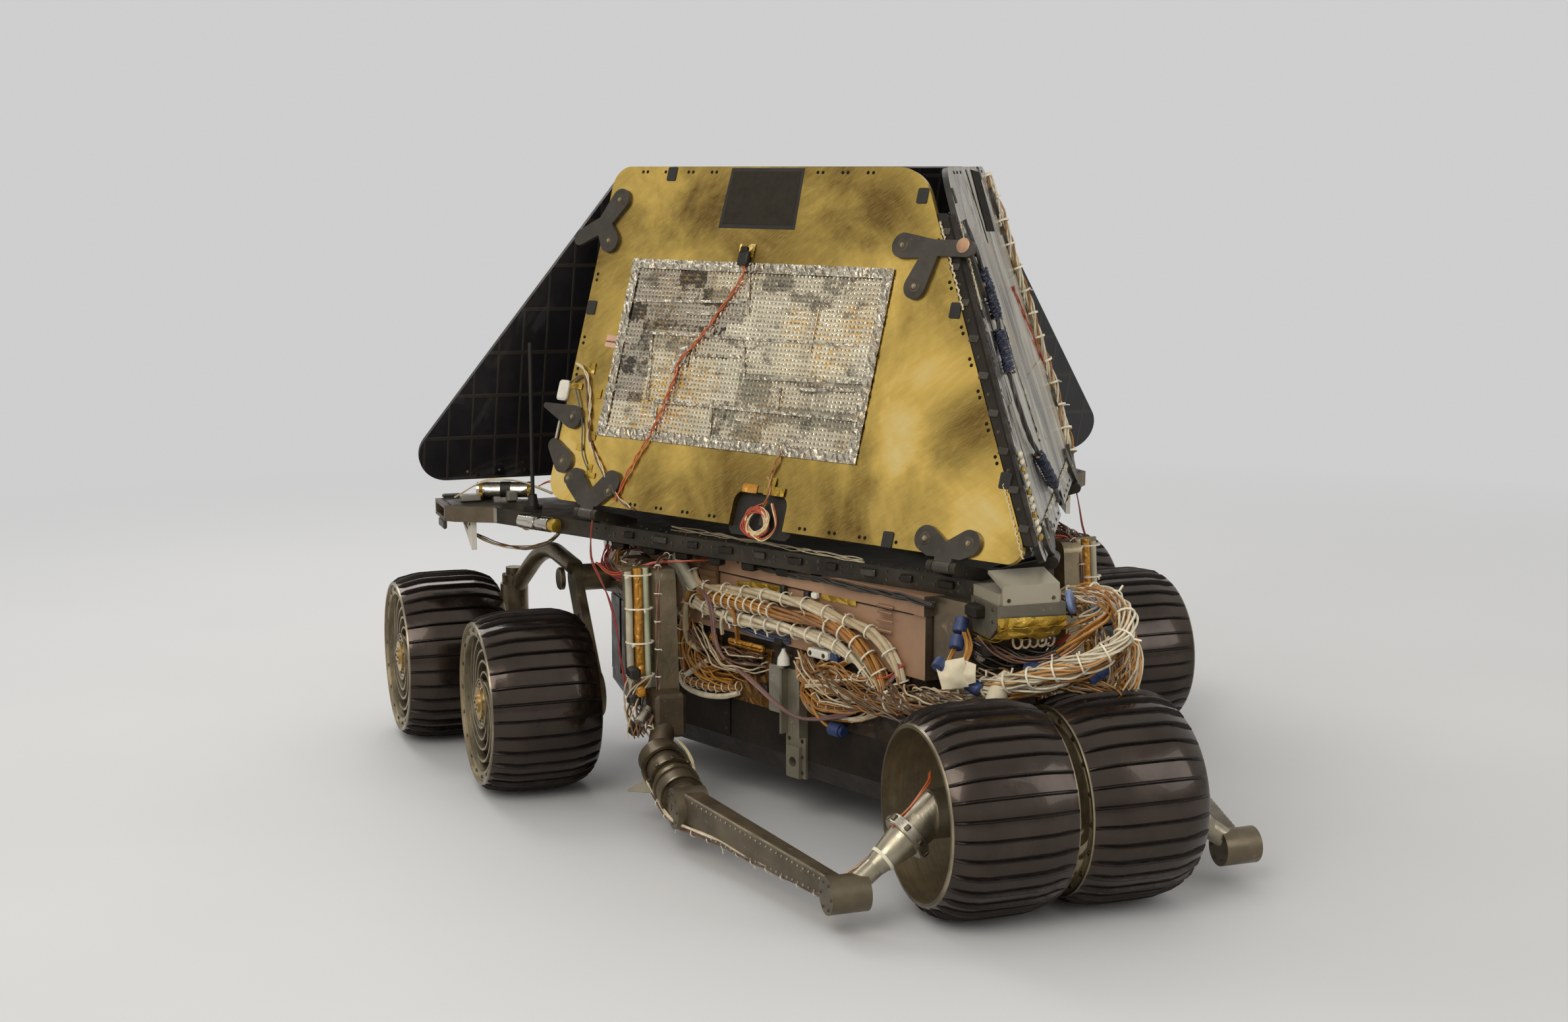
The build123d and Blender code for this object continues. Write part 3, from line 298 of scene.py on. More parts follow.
def worn(name, color, metal, rough, spot, shift, speck=0.0, bump=0.0004, **sockets):
    """A plain skin with cloudy tone, fine grain, and specks where it is rubbed."""
    f = Finish(name, tuple(color), metal, rough, **sockets)
    tone = f.blend(f.band(f.noise(spot, 5, 0.6), 0.3, 0.7), scaled(color, 1 - shift),
                   scaled(color, 1 + shift))
    if speck:
        rubbed = f.band(f.noise(spot * 5, 4, 0.75), 0.62, 0.72, 0, speck)
        tone = f.blend(rubbed, tone, scaled(color, 3.0))
    f.to(tone, "Base Color")
    f.to(f.band(f.noise(spot * 2.3), 0.3, 0.7, max(0.05, rough - 0.1), min(1.0, rough + 0.12)), "Roughness")
    f.to(f.bump(f.noise(spot * 14, 3, 0.7), bump, 0.5), "Normal")
    return f.material


def streaked(name, color, axis, rough=0.34, metal=0.95, shift=0.5):
    """Bare metal with fine tool marks round an axis, and stains."""
    f = Finish(name, tuple(color), metal, rough)
    marks = f.noise(1.0, 3, 0.7, f.moved(tuple(420.0 if a else 12.0 for a in axis)))
    stain = f.noise(16, 5, 0.65)
    tone = f.blend(f.band(marks, 0.3, 0.7), scaled(color, 1 - shift), scaled(color, 1 + shift))
    f.to(f.blend(f.band(stain, 0.4, 0.62, 0, 0.6), tone, scaled(color, 0.35)), "Base Color")
    f.to(f.band(stain, 0.3, 0.7, rough - 0.08, rough + 0.2), "Roughness")
    f.to(f.bump(marks, 0.0004, 0.5), "Normal")
    return f.material


def polished(name, face, color):
    """Smooth metal tape with bright and dark bands painted up the panel as reflections."""
    f = Finish(name, tuple(color), 1.0, 0.16)
    bands = f.noise(1.0, 4, 0.6, f.plane(face.along, face.up, (17, 1.6)), 0.4)
    sheen = f.noise(1.0, 3, 0.6, f.plane(face.along, face.up, (5, 4)))
    tone = f.sums("ADD", f.sums("MULTIPLY", bands, 0.7), f.sums("MULTIPLY", sheen, 0.3))
    # painted reflections: the bands and sheen turn the colour dark and light up the panel
    painted_reflection_color = f.blend(f.band(tone, 0.40, 0.49), scaled(color, 0.13), scaled(color, 0.72))
    # the brightest bands are a near-white painted highlight
    painted_reflection_color = f.blend(f.band(tone, 0.51, 0.57), painted_reflection_color, (0.86, 0.82, 0.71))
    f.to(f.blend(f.band(f.noise(14, 3), 0.60, 0.72, 0, 0.5), painted_reflection_color, (0.62, 0.42, 0.16)), "Base Color")
    f.to(f.bump(f.noise(1.0, 3, 0.6, f.plane(face.along, face.up, (40, 9))), 0.003, 0.35), "Normal")
    f.to(f.band(sheen, 0.3, 0.7, 0.20, 0.38), "Roughness")
    return f.material


def foil(name, color, crease=26, rough=0.24, metal=1.0, depth=0.004, warm=0.0):
    """Crinkled metal film, with painted warm glints that stand for its reflections of the wires."""
    f = Finish(name, tuple(color), metal, rough)
    ridges = f.cells(crease, feature="DISTANCE_TO_EDGE")
    fine = f.noise(crease * 3.2, 3, 0.6)
    height = f.sums("ADD", f.band(ridges, 0, 0.25), f.sums("MULTIPLY", fine, 0.5))
    tone = f.blend(f.band(f.noise(crease * 0.5), 0.3, 0.7), scaled(color, 0.62), tuple(color))
    # painted warm glints: reflections of the wires painted into the colour
    if warm:
        tone = f.blend(f.band(f.noise(crease * 0.9, 4, 0.7), 0.52, 0.66, 0, warm), tone, (0.55, 0.30, 0.07))
    f.to(tone, "Base Color")
    f.to(f.bump(height, depth, 0.9), "Normal")
    f.to(f.band(fine, 0.3, 0.7, rough * 0.7, rough * 1.5), "Roughness")
    return f.material


def dimpled_tape(name, face, color, dark=0.45, gold=0.4):
    """Silver tape pressed into rows of small dimples, with painted shade in each dimple: darker by uneven
    blocks, with painted dark reflection streaks, painted bright glints and painted warm glints.
    """
    f = Finish(name, tuple(color), 1.0, 0.3)
    place = f.plane(face.along, face.up)
    rows = f.sums("MULTIPLY", f.waves(f.across(face.along), 0.0068), f.waves(f.across(face.up), 0.0064))
    unsteady = f.node("ShaderNodeTexNoise", {"Vector": place, "Scale": 90.0}).outputs["Color"]
    ragged = f.plus(place, f.scale(unsteady, 0.022))
    snapped = f.node("ShaderNodeVectorMath", {0: ragged, 1: (0.052, 0.026, 0.01)},
                     operation="SNAP").outputs[0]
    blocks = f.noise(31.0, 0, 0.5, snapped)
    shine = f.noise(1.0, 4, 0.7, f.plane(face.along, face.up, (22, 38)))
    glint = f.noise(1.0, 3, 0.7, f.plane(face.along, face.up, (95, 190)))
    warmth = f.noise(6.5, 2, 0.5, place)
    tone = f.blend(f.band(blocks, 0.42, 0.47, dark * 1.4, 0.0), scaled(color, 1.08), scaled(color, 0.20))
    # painted reflection streaks: dark where the shine is low
    tone = f.blend(f.band(shine, 0.34, 0.46, 0.8, 0.0), tone, (0.12, 0.10, 0.08))
    # painted bright glints
    tone = f.blend(f.band(glint, 0.60, 0.70, 0.0, 0.7), tone, (0.95, 0.88, 0.72))
    # painted warm glints, as much as gold gives
    warm = f.sums("MULTIPLY", f.band(warmth, 0.46, 0.62, 0.0, gold), f.band(glint, 0.48, 0.58))
    tone = f.blend(warm, tone, (0.80, 0.42, 0.06))
    # painted shade in each dimple
    f.to(f.blend(f.band(rows, 0.42, 0.75, 0, 0.7), tone, scaled(color, 0.2)), "Base Color")
    f.to(f.bump(rows, 0.0012, 0.6, f.bump(shine, 0.006, 0.6)), "Normal")
    f.to(f.band(blocks, 0.3, 0.7, 0.36, 0.22), "Roughness")
    return f.material


def cell_side(name):
    """The panels' cell side: black glassy cells in a fine dark grid."""
    f = Finish(name, (0.007, 0.006, 0.007), 0.15, 0.3, coat_weight=0.5)
    across = f.waves(f.across((0, 1, 0)), 0.036)
    up = f.waves(f.across((0, 0, 1)), 0.066)
    grid = f.band(f.sums("MAXIMUM", across, up), 0.975, 0.99)
    cell = f.blend(f.band(f.noise(40), 0.3, 0.7), (0.005, 0.005, 0.006), (0.012, 0.010, 0.012))
    f.to(f.blend(grid, cell, (0.026, 0.021, 0.016)), "Base Color")
    f.to(f.bump(grid, 0.0006, 0.5), "Normal")
    return f.material


def wire(name, dark, light, rough=0.45, rare=None, coat=0.2):
    """Wire skin: each strand keeps its own tone, and a few strands may be of another colour."""
    f = Finish(name, light, 0.0, rough, coat_weight=coat)
    tone = f.node("ShaderNodeAttribute", attribute_name="tone").outputs["Fac"]
    color = f.blend(tone, dark, light)
    if rare:
        color = f.blend(f.band(tone, 0.66, 0.68), color, rare)
    f.to(f.blend(f.band(f.noise(90, 3), 0.35, 0.65, 0.0, 0.35), color, scaled(dark, 0.55)), "Base Color")
    f.to(f.bump(f.noise(420, 2), 0.0006, 0.5), "Normal")
    return f.material


GOLD_PAINTED_REFLECTIONS = (              # painted reflections on the right wing: where, how wide, how much lighter or darker
    (245, 246, 110, 0.24), (142, 51, 150, 0.26), (335, 377, 90, 0.24), (813, 61, 120, 0.22),
    (594, 87, 90, 0.16), (822, 469, 110, 0.22), (283, 120, 90, 0.22), (704, 433, 110, -0.16),
    (373, 459, 120, -0.20), (528, 63, 100, -0.18), (280, 312, 90, -0.18), (148, 186, 80, -0.18),
    (843, 289, 120, -0.12), (211, 202, 60, -0.10), (236, 150, 70, 0.08), (350, 70, 110, -0.18),
    (172, 62, 80, -0.06), (553, 402, 90, -0.10),
)
WORN = {                    # colour, metal, roughness, scale of the clouds, shift of tone, specks
    "black": ((0.018, 0.015, 0.011), 0.2, 0.45, 20, 0.4, 0.25),
    "bracket": ((0.062, 0.053, 0.041), 0.5, 0.42, 26, 0.3, 0.4),
    "rail": ((0.017, 0.012, 0.007), 0.15, 0.55, 22, 0.5, 0.6),
    "ear metal": ((0.13, 0.10, 0.062), 0.5, 0.42, 16, 0.35, 0.4),
    "old white": ((0.44, 0.40, 0.29), 0.0, 0.5, 26, 0.25),
    "matt black": ((0.024, 0.019, 0.011), 0.0, 0.66, 60, 0.15),
    "camera grey": ((0.13, 0.116, 0.082), 0.45, 0.36, 18, 0.25, 0.5),
    "nose metal": ((0.15, 0.115, 0.075), 0.7, 0.34, 9, 0.5, 0.4),
    "post": ((0.16, 0.09, 0.04), 0.3, 0.45, 16, 0.45, 0.4),
    "arm plate": ((0.135, 0.108, 0.070), 0.7, 0.4, 15, 0.35, 0.5),
    "strut metal": ((0.34, 0.30, 0.22), 0.85, 0.32, 20, 0.3, 0.4),
    "light channel": ((0.24, 0.215, 0.155), 0.5, 0.38, 18, 0.25, 0.5),
    "casting": ((0.080, 0.056, 0.032), 0.5, 0.42, 16, 0.5, 0.6),
    "hub": ((0.34, 0.29, 0.20), 0.85, 0.4, 24, 0.3, 0.4),
    "hub boss": ((0.46, 0.33, 0.14), 0.9, 0.32, 24, 0.3),
    "grey": ((0.33, 0.30, 0.245), 0.5, 0.4, 14, 0.2, 0.3),
    "apron": ((0.36, 0.32, 0.235), 0.35, 0.38, 9, 0.12),
    "white": ((0.70, 0.66, 0.56), 0.0, 0.5, 30, 0.1),
    "paper": ((0.72, 0.63, 0.44), 0.0, 0.62, 30, 0.15),
    "pink tape": ((0.62, 0.36, 0.24), 0.0, 0.5, 40, 0.15),
    "steel": ((0.40, 0.36, 0.29), 0.95, 0.3, 60, 0.3),
    "dark steel": ((0.11, 0.09, 0.065), 0.9, 0.34, 60, 0.4),
    # the dark of holes and slots, painted as shade on flat pieces
    "hole": ((0.012, 0.009, 0.006), 0.0, 0.8, 60, 0.2),
    "copper": ((0.50, 0.30, 0.18), 0.9, 0.38, 50, 0.25),
    "blue": ((0.022, 0.040, 0.115), 0.0, 0.4, 90, 0.5, 0.3),
    "navy": ((0.014, 0.019, 0.048), 0.0, 0.36, 90, 0.5),
    "pale blue": ((0.20, 0.27, 0.46), 0.0, 0.4, 70, 0.3),
    "green white": ((0.42, 0.44, 0.30), 0.0, 0.5, 40, 0.25),
    "tie": ((0.78, 0.72, 0.56), 0.0, 0.5, 60, 0.15),
    "grey tube": ((0.30, 0.27, 0.20), 0.0, 0.55, 40, 0.35),
    "glass": ((0.008, 0.010, 0.014), 0.0, 0.06, 20, 0.2),
}
WORN_MORE = {               # what only a few of the worn skins have
    "rail": {"gloss": 0.3}, "matt black": {"gloss": 0.2}, "hole": {"gloss": 0.1},
    "glass": {"bump": 0.0, "coat_weight": 1.0},
}
FOILS = {                   # colour, scale of the creases, roughness, metal, their depth, painted warm glints
    "silver": ((0.72, 0.68, 0.60), 14, 0.2, 1.0, 0.003, 0.25),
    "silver border": ((0.66, 0.60, 0.48), 90, 0.26, 1.0, 0.003, 0.35),
    "yellow film": ((0.60, 0.38, 0.05), 34, 0.22, 0.55, 0.004),
    "orange film": ((0.60, 0.27, 0.03), 60, 0.3, 0.35, 0.002),
    "amber film": ((0.22, 0.105, 0.02), 40, 0.3, 0.5, 0.004),
    "brown film": ((0.045, 0.028, 0.015), 30, 0.4, 0.4, 0.002),
}
WIRES = {                   # dark tone, light tone, roughness, tone of the rare strands, coat
    "white wire": ((0.50, 0.38, 0.22), (0.78, 0.69, 0.50)),
    "orange wire": ((0.26, 0.095, 0.014), (0.60, 0.29, 0.05), 0.32, None, 0.4),
    "film wire": ((0.20, 0.075, 0.016), (0.50, 0.22, 0.04), 0.28, None, 0.6),
    "mixed wire": ((0.28, 0.11, 0.018), (0.60, 0.29, 0.06), 0.4, (0.78, 0.70, 0.52)),
    "dirty wire": ((0.07, 0.035, 0.018), (0.42, 0.20, 0.045), 0.42, (0.62, 0.50, 0.32)),
    "nose wire": ((0.66, 0.56, 0.38), (0.82, 0.76, 0.62), 0.45, (0.58, 0.25, 0.04)),
    "red wire": ((0.40, 0.055, 0.018), (0.64, 0.12, 0.03), 0.4),
    "deep red wire": ((0.15, 0.014, 0.010), (0.32, 0.034, 0.018)),
    "red orange wire": ((0.50, 0.10, 0.02), (0.60, 0.15, 0.03), 0.4, (0.72, 0.40, 0.08)),
    "coil wire": ((0.42, 0.04, 0.02), (0.66, 0.20, 0.04), 0.4, (0.80, 0.66, 0.36)),
    "brown wire": ((0.11, 0.05, 0.03), (0.24, 0.12, 0.07)),
    "purple wire": ((0.16, 0.08, 0.07), (0.33, 0.19, 0.16)),
    "black wire": ((0.012, 0.010, 0.008), (0.05, 0.04, 0.03), 0.4),
    "blue wire": ((0.03, 0.045, 0.10), (0.20, 0.22, 0.24)),
    "pale wire": ((0.62, 0.50, 0.30), (0.80, 0.70, 0.48)),
}
SHEETS = {}


def finishes():
    """Makes each finish once and keeps it by name."""
    if SHEETS:
        return SHEETS
    paint, right = bpy.context.scene.rover_paint, WING["right"]
    SHEETS.update({
        "gold": brushed_gold("gold", paint, right, 142, GOLD_PAINTED_REFLECTIONS),
        "rear gold": brushed_gold("rear gold", paint, REAR, 38),
        "patch": dimpled_tape("patch", right, (0.66, 0.58, 0.43)),
        # the same silver tape, painted lighter and darker where its reflections differ
        "patch with bright painted reflection": dimpled_tape("patch with bright painted reflection", right, (0.80, 0.72, 0.54), 0.15, 0.9),
        "patch with dark painted reflection": dimpled_tape("patch with dark painted reflection", right, (0.48, 0.42, 0.33), 0.75, 0.3),
        "polished": polished("polished", WING["left"], (0.74, 0.69, 0.58)),
        "cells": cell_side("cells"),
        "deck": worn("deck", paint.deck_frame, 0.5, 0.48, 18, 0.5, 0.7),
        "hull": worn("hull", paint.hull_film, 0.4, 0.4, 12, 0.6, 0.5, 0.0015),
        "tier": worn("tier", paint.upper_tier, 0.25, 0.42, 7, 0.22, 0.12),
        "titanium": worn("titanium", paint.titanium, 0.9, 0.36, 13, 0.45, 0.6, 0.0006),
        "wheel": worn("wheel", paint.wheel, 0.85, 0.22, 14, 0.25, 0.08, 0.0002, coat_weight=0.3),
        # cleats: the wheel's own colour darkened to 0.4, painted shade on the same skin
        "cleat": worn("cleat", scaled(paint.wheel, 0.4), 0.7, 0.26, 30, 0.4, 0.25),
        "lip": streaked("lip", (0.30, 0.25, 0.17), (0, 1, 0), 0.3),
        "drum inside": streaked("drum inside", (0.54, 0.45, 0.30), (0, 1, 0), 0.34, 0.75, 0.2),
    })
    for table, maker in ((WORN, worn), (FOILS, foil), (WIRES, wire)):
        for name, values in table.items():
            SHEETS[name] = maker(name, *values, **WORN_MORE.get(name, {}))
    return SHEETS


# Finishes of the model's own nodes
SLOT_FINISH = {
    "body_paint": "hull", "dark_frame": "deck", "light_grey": "grey", "silver_foil": "silver",
    "white_paint": "white", "black_paint": "black", "gold_plate": "gold", "panel_black": "cells",
    "titanium": "titanium", "harness": "white wire", "wheel_black": "wheel", "wheel_hub": "hub",
}
NODE_FINISH = {
    "front_camera_box": "camera grey", "nose_plate": "apron", "nose_box": "nose metal",
    "high_gain_antenna": "rear gold", "wall_brackets": "light channel",
}
SIDE_FINISH = {
    "front_arm": "arm plate", "front_drive": "strut metal", "elbow": "casting",
    "wing_hinges": "bracket", "wing_latches": "bracket",
}
NODE_FINISH.update({f"{side}_{part}": finish for side, sign in SIDES
                    for part, finish in SIDE_FINISH.items()})
TIER_BOTTOM = 0.2461


def give(obj, *names):
    """Puts finishes on an object, in place of what it had."""
    obj.data.materials.clear()
    for name in names:
        obj.data.materials.append(finishes()[name])


def give_by_face(obj, base, picks):
    """Finishes an object's faces one by one: the first pick whose test a face meets, or else the base."""
    give(obj, base, *[name for name, test in picks])
    for polygon in obj.data.polygons:
        polygon.material_index = 0
        for number, (name, test) in enumerate(picks):
            if test(polygon.center, polygon.normal):
                polygon.material_index = number + 1
                break


def looks(direction, least=0.9):
    """A test for faces that look in a direction."""
    return lambda centre, normal: normal.dot(direction) > least


def near_axle(place, radius):
    """A test for faces within a radius of a wheel's axle."""
    return lambda centre, normal: hypot(centre.x - place.x, centre.z - place.z) < radius * MM


def on_ear_edge(centre, normal):
    """A test for the upright faces of the deck's ears."""
    return centre.x < -0.39 and abs(centre.y) > 0.42 and abs(normal.z) < 0.5


class ROVER_OT_nodes(bpy.types.Operator):
    """Gives each of the model's own nodes its finish"""

    bl_idname = "rover.nodes"
    bl_label = "Finish the Nodes"

    def execute(self, context):
        slots = {p["node"]: p["material_slot"] for p in frame["record"]["subparts"]}
        for name, obj in NODES.items():
            give(obj, NODE_FINISH.get(name, SLOT_FINISH[slots[name]]))
        face, rear_face = WING["left"], REAR.off
        give_by_face(NODES["right_wing"], "gold", [("cells", looks(-WING["right"].off))])
        give_by_face(NODES["left_wing"], "black", [("silver", looks(face.off)), ("cells", looks(-face.off))])
        give_by_face(NODES["rear_panel"], "black", [
            ("rear gold", looks(rear_face)), ("cells", looks(-rear_face))])
        give_by_face(NODES["body_shell"], "hull", [
            ("nose metal", lambda centre, normal: centre.z > TIER_BOTTOM and normal.x > 0.95),
            ("tier", lambda centre, normal: centre.z > TIER_BOTTOM)])
        give_by_face(NODES["deck"], "deck", [("ear metal", on_ear_edge)])
        for name, (place, hub_way) in WHEELS.items():
            give_by_face(NODES[f"{name}_hub"], "hub", [("hub boss", near_axle(place, 27))])
        return {"FINISHED"}


# Geometry trees
class Tree(Graph):
    """A geometry node tree under construction, with named inputs."""

    def __init__(self, name, inputs):
        self.tree = bpy.data.node_groups.new(name, "GeometryNodeTree")
        face = self.tree.interface
        face.new_socket("Geometry", in_out="INPUT", socket_type="NodeSocketGeometry")
        for label, kind, value in inputs:
            face.new_socket(label, in_out="INPUT", socket_type=f"NodeSocket{kind}").default_value = value
        face.new_socket("Material", in_out="INPUT", socket_type="NodeSocketMaterial")
        face.new_socket("Geometry", in_out="OUTPUT", socket_type="NodeSocketGeometry")
        self.entry = self.tree.nodes.new("NodeGroupInput").outputs

    def grow(self, kind, values=None, **settings):
        return self.node(f"GeometryNode{kind}", values, **settings).outputs[0]

    def named(self, name, kind="FLOAT"):
        return self.grow("InputNamedAttribute", {"Name": name}, data_type=kind)

    def chance(self, low, high, key):
        made = self.node("FunctionNodeRandomValue", {2: low, 3: high, "ID": key, "Seed": self.entry["Seed"]},
                         data_type="FLOAT")
        return made.outputs[1]

    def number(self):
        return self.grow("InputIndex")

    def route(self):
        """The input's edges as smooth paths with even points."""
        path = self.grow("MeshToCurve", {"Mesh": self.entry["Geometry"]})
        path = self.grow("CurveSplineType", {"Curve": path}, spline_type="CATMULL_ROM")
        return self.grow("ResampleCurve", {"Curve": path, "Length": self.entry["Step"]}, mode="LENGTH")

    def spun(self, rotation, angle):
        """A rotation turned on round its own z."""
        turn = self.node("FunctionNodeEulerToRotation", {"Euler": self.vector(z=angle)}).outputs[0]
        return self.node("FunctionNodeRotateRotation", {"Rotation": rotation, "Rotate By": turn},
                         rotation_space="LOCAL").outputs[0]

    def finished(self, geometry):
        whole = self.grow("RealizeInstances", {"Geometry": geometry})
        coated = self.grow("SetMaterial", {"Geometry": whole, "Material": self.entry["Material"]})
        self.tree.links.new(coated, self.tree.nodes.new("NodeGroupOutput").inputs[0])
        return self.tree


GOLDEN_ANGLE = 2.39996       # each wire of a bundle is turned on by it, so that they fill the girth


def bundle_tree():
    """Lays a bundle of separate wires along each route, twisted and a little uneven."""
    g = Tree("wire bundle", (
        ("Wires", "Int", 9), ("Wire radius", "Float", 0.0012), ("Hollow", "Float", 0.0),
        ("Twist", "Float", 0.0), ("Wander", "Float", 0.0), ("Step", "Float", 0.008), ("Sides", "Int", 6),
        ("Seed", "Int", 1)))
    copies = g.node("GeometryNodeDuplicateElements", {"Geometry": g.route(), "Amount": g.entry["Wires"]},
                    domain="SPLINE")
    index = copies.outputs["Duplicate Index"]
    length = g.node("GeometryNodeSplineParameter").outputs["Length"]
    turned_on = g.sums("MULTIPLY", index, GOLDEN_ANGLE)
    angle = g.sums("ADD", turned_on, g.sums("MULTIPLY", length, g.entry["Twist"]))
    fill = g.sums("SQRT", g.sums("DIVIDE", g.sums("ADD", index, 0.5), g.entry["Wires"]))
    reach = g.sums("MAXIMUM", fill, g.entry["Hollow"])
    reach = g.sums("MULTIPLY", reach, g.named("girth"))
    normal = g.node("GeometryNodeInputNormal").outputs[0]
    tangent = g.grow("InputTangent")
    aside = g.node("ShaderNodeVectorMath", {0: tangent, 1: normal}, operation="CROSS_PRODUCT").outputs[0]
    ring = g.plus(g.scale(normal, g.sums("MULTIPLY", reach, g.sums("COSINE", angle))),
                  g.scale(aside, g.sums("MULTIPLY", reach, g.sums("SINE", angle))))
    key = g.sums("ADD", g.sums("MULTIPLY", index, 7.31), g.entry["Seed"])
    cloud = g.node("ShaderNodeTexNoise", {"W": key, "Scale": 22.0, "Detail": 1.0}, noise_dimensions="4D")
    drift = g.plus(cloud.outputs["Color"], (-0.5, -0.5, -0.5))
    drift = g.scale(drift, g.sums("MULTIPLY", g.entry["Wander"], 2.0))
    moved = g.grow("SetPosition", {"Geometry": copies.outputs[0], "Offset": g.plus(ring, drift)})
    tone = g.chance(0.0, 1.0, g.number())
    toned = g.grow("StoreNamedAttribute", {"Geometry": moved, "Name": "tone", "Value": tone},
                   data_type="FLOAT", domain="CURVE")
    profile = g.grow("CurvePrimitiveCircle", {
        "Resolution": g.entry["Sides"], "Radius": g.entry["Wire radius"]})
    skin = g.grow("CurveToMesh", {"Curve": toned, "Profile Curve": profile, "Fill Caps": True})
    return g.finished(skin)


def tie_tree():
    """Puts a band with a short tail round each route at even distances."""
    g = Tree("ties", (
        ("Spacing", "Float", 0.024), ("Grow", "Float", 1.1), ("Band", "Float", 0.34), ("Tail", "Float", 0.9),
        ("Step", "Float", 0.006), ("Seed", "Int", 1)))
    places = g.node("GeometryNodeCurveToPoints", {"Curve": g.route(), "Length": g.entry["Spacing"]},
                    mode="LENGTH")
    circle = g.grow("CurvePrimitiveCircle", {"Resolution": 14, "Radius": 1.0})
    section = g.grow("CurvePrimitiveQuadrilateral", {"Width": 0.14, "Height": g.entry["Band"]})
    ring = g.grow("CurveToMesh", {"Curve": circle, "Profile Curve": section})
    tail = g.grow("MeshCube", {"Size": g.vector(g.entry["Tail"], 0.12, 0.16)})
    tail = g.grow("Transform", {"Geometry": tail, "Rotation": (0, -0.35, 0.5), "Translation": g.vector(
        g.sums("ADD", 0.95, g.sums("MULTIPLY", g.entry["Tail"], 0.42)), 0.1, 0.12)})
    both = g.node("GeometryNodeJoinGeometry")
    for part in (ring, tail):
        g.tree.links.new(part, both.inputs[0])
    turn = g.spun(places.outputs["Rotation"], g.chance(0.0, 6.28, g.number()))
    size = g.sums("MULTIPLY", g.named("girth"), g.entry["Grow"])
    rings = g.grow("InstanceOnPoints", {"Points": places.outputs["Points"], "Instance": both.outputs[0],
                                        "Rotation": turn, "Scale": size})
    return g.finished(rings)


def stud_tree():
    """Sets a washer and a head on each place, turned to face off its surface."""
    g = Tree("studs", (
        ("Sides", "Int", 6), ("Height", "Float", 0.6), ("Washer", "Float", 1.5),
        ("Washer height", "Float", 0.2), ("Seed", "Int", 1)))
    head = g.grow("MeshCone", {"Vertices": g.entry["Sides"], "Radius Top": 0.88, "Radius Bottom": 1.0,
                               "Depth": g.entry["Height"]})
    washer = g.grow("MeshCone", {"Vertices": 14, "Radius Top": g.sums("MULTIPLY", g.entry["Washer"], 0.93),
                                 "Radius Bottom": g.entry["Washer"], "Depth": g.entry["Washer height"]})
    head = g.grow("Transform", {"Geometry": head, "Translation": g.vector(z=g.entry["Washer height"])})
    both = g.node("GeometryNodeJoinGeometry")
    for part in (head, washer):
        g.tree.links.new(part, both.inputs[0])
    facing = g.node("FunctionNodeAlignRotationToVector", {"Vector": g.named("facing", "FLOAT_VECTOR")},
                    axis="Z")
    turn = g.spun(facing.outputs[0], g.chance(0.0, 6.28, g.number()))
    studs = g.grow("InstanceOnPoints", {"Points": g.entry["Geometry"], "Instance": both.outputs[0],
                                        "Rotation": turn, "Scale": g.named("girth")})
    return g.finished(studs)


def circle_tree():
    """Repeats a piece round a wheel's axle, which runs across the rover."""
    g = Tree("round the axle", (("Count", "Int", 32), ("Centre", "Vector", (0.0, 0.0, 0.0))))
    places = g.grow("Points", {"Count": g.entry["Count"], "Position": g.entry["Centre"]})
    angle = g.sums("DIVIDE", g.sums("MULTIPLY", g.number(), 2 * pi), g.entry["Count"])
    turn = g.node("FunctionNodeEulerToRotation", {"Euler": g.vector(y=angle)}).outputs[0]
    ring = g.grow("InstanceOnPoints", {"Points": places, "Instance": g.entry["Geometry"], "Rotation": turn})
    return g.finished(ring)


TREES = {}


def tree_for(maker):
    if maker not in TREES:
        TREES[maker] = maker()
    return TREES[maker]


def grown(name, body, mesh, maker, finish, **values):
    """Runs a geometry tree over a mesh of routes or places, and keeps the result as one plain piece."""
    group = tree_for(maker)
    base = bpy.data.objects.new(name + "_base", mesh)
    bpy.context.scene.collection.objects.link(base)
    modifier = base.modifiers.new("grow", "NODES")
    modifier.node_group = group
    sockets = {item.name: item.identifier for item in group.interface.items_tree if item.in_out == "INPUT"}
    modifier[sockets["Material"]] = finishes()[finish]
    for label, value in values.items():
        modifier[sockets[label.replace("_", " ").capitalize()]] = value
    made = bpy.data.meshes.new_from_object(base.evaluated_get(bpy.context.evaluated_depsgraph_get()))
    base.modifiers.remove(modifier)
    bpy.data.objects.remove(base)
    if not made.polygons:
        raise RuntimeError(f"{name}: the tree made no faces")
    made.set_sharp_from_angle(angle=radians(40))
    piece = bpy.data.objects.new(name, made)
    bpy.context.scene.collection.objects.link(piece)
    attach(piece, body)
    return piece


def route_mesh(routes):
    """A mesh of open paths. Each route is its girth in millimetres and its points."""
    verts, edges, girths = [], [], []
    for girth, points in routes:
        first = len(verts)
        verts += points
        edges += [(first + i, first + i + 1) for i in range(len(points) - 1)]
        girths += [girth * MM] * len(points)
    mesh = bpy.data.meshes.new("routes")
    mesh.from_pydata(verts, edges, [])
    mesh.attributes.new("girth", "FLOAT", "POINT").data.foreach_set("value", girths)
    return mesh


def bundle(name, body, finish, routes, wires=1, wire=1.0, hollow=0.0, twist=0.0, wander=0.0, step=8.0,
           sides=6, seed=1):
    """Wires along routes. Sizes in millimetres, twist in turns per 100 mm."""
    return grown(name, body, route_mesh(routes), bundle_tree, finish, wires=wires, wire_radius=wire * MM,
                 hollow=hollow, twist=twist * 20 * pi, wander=wander * MM, step=step * MM, sides=sides,
                 seed=seed)


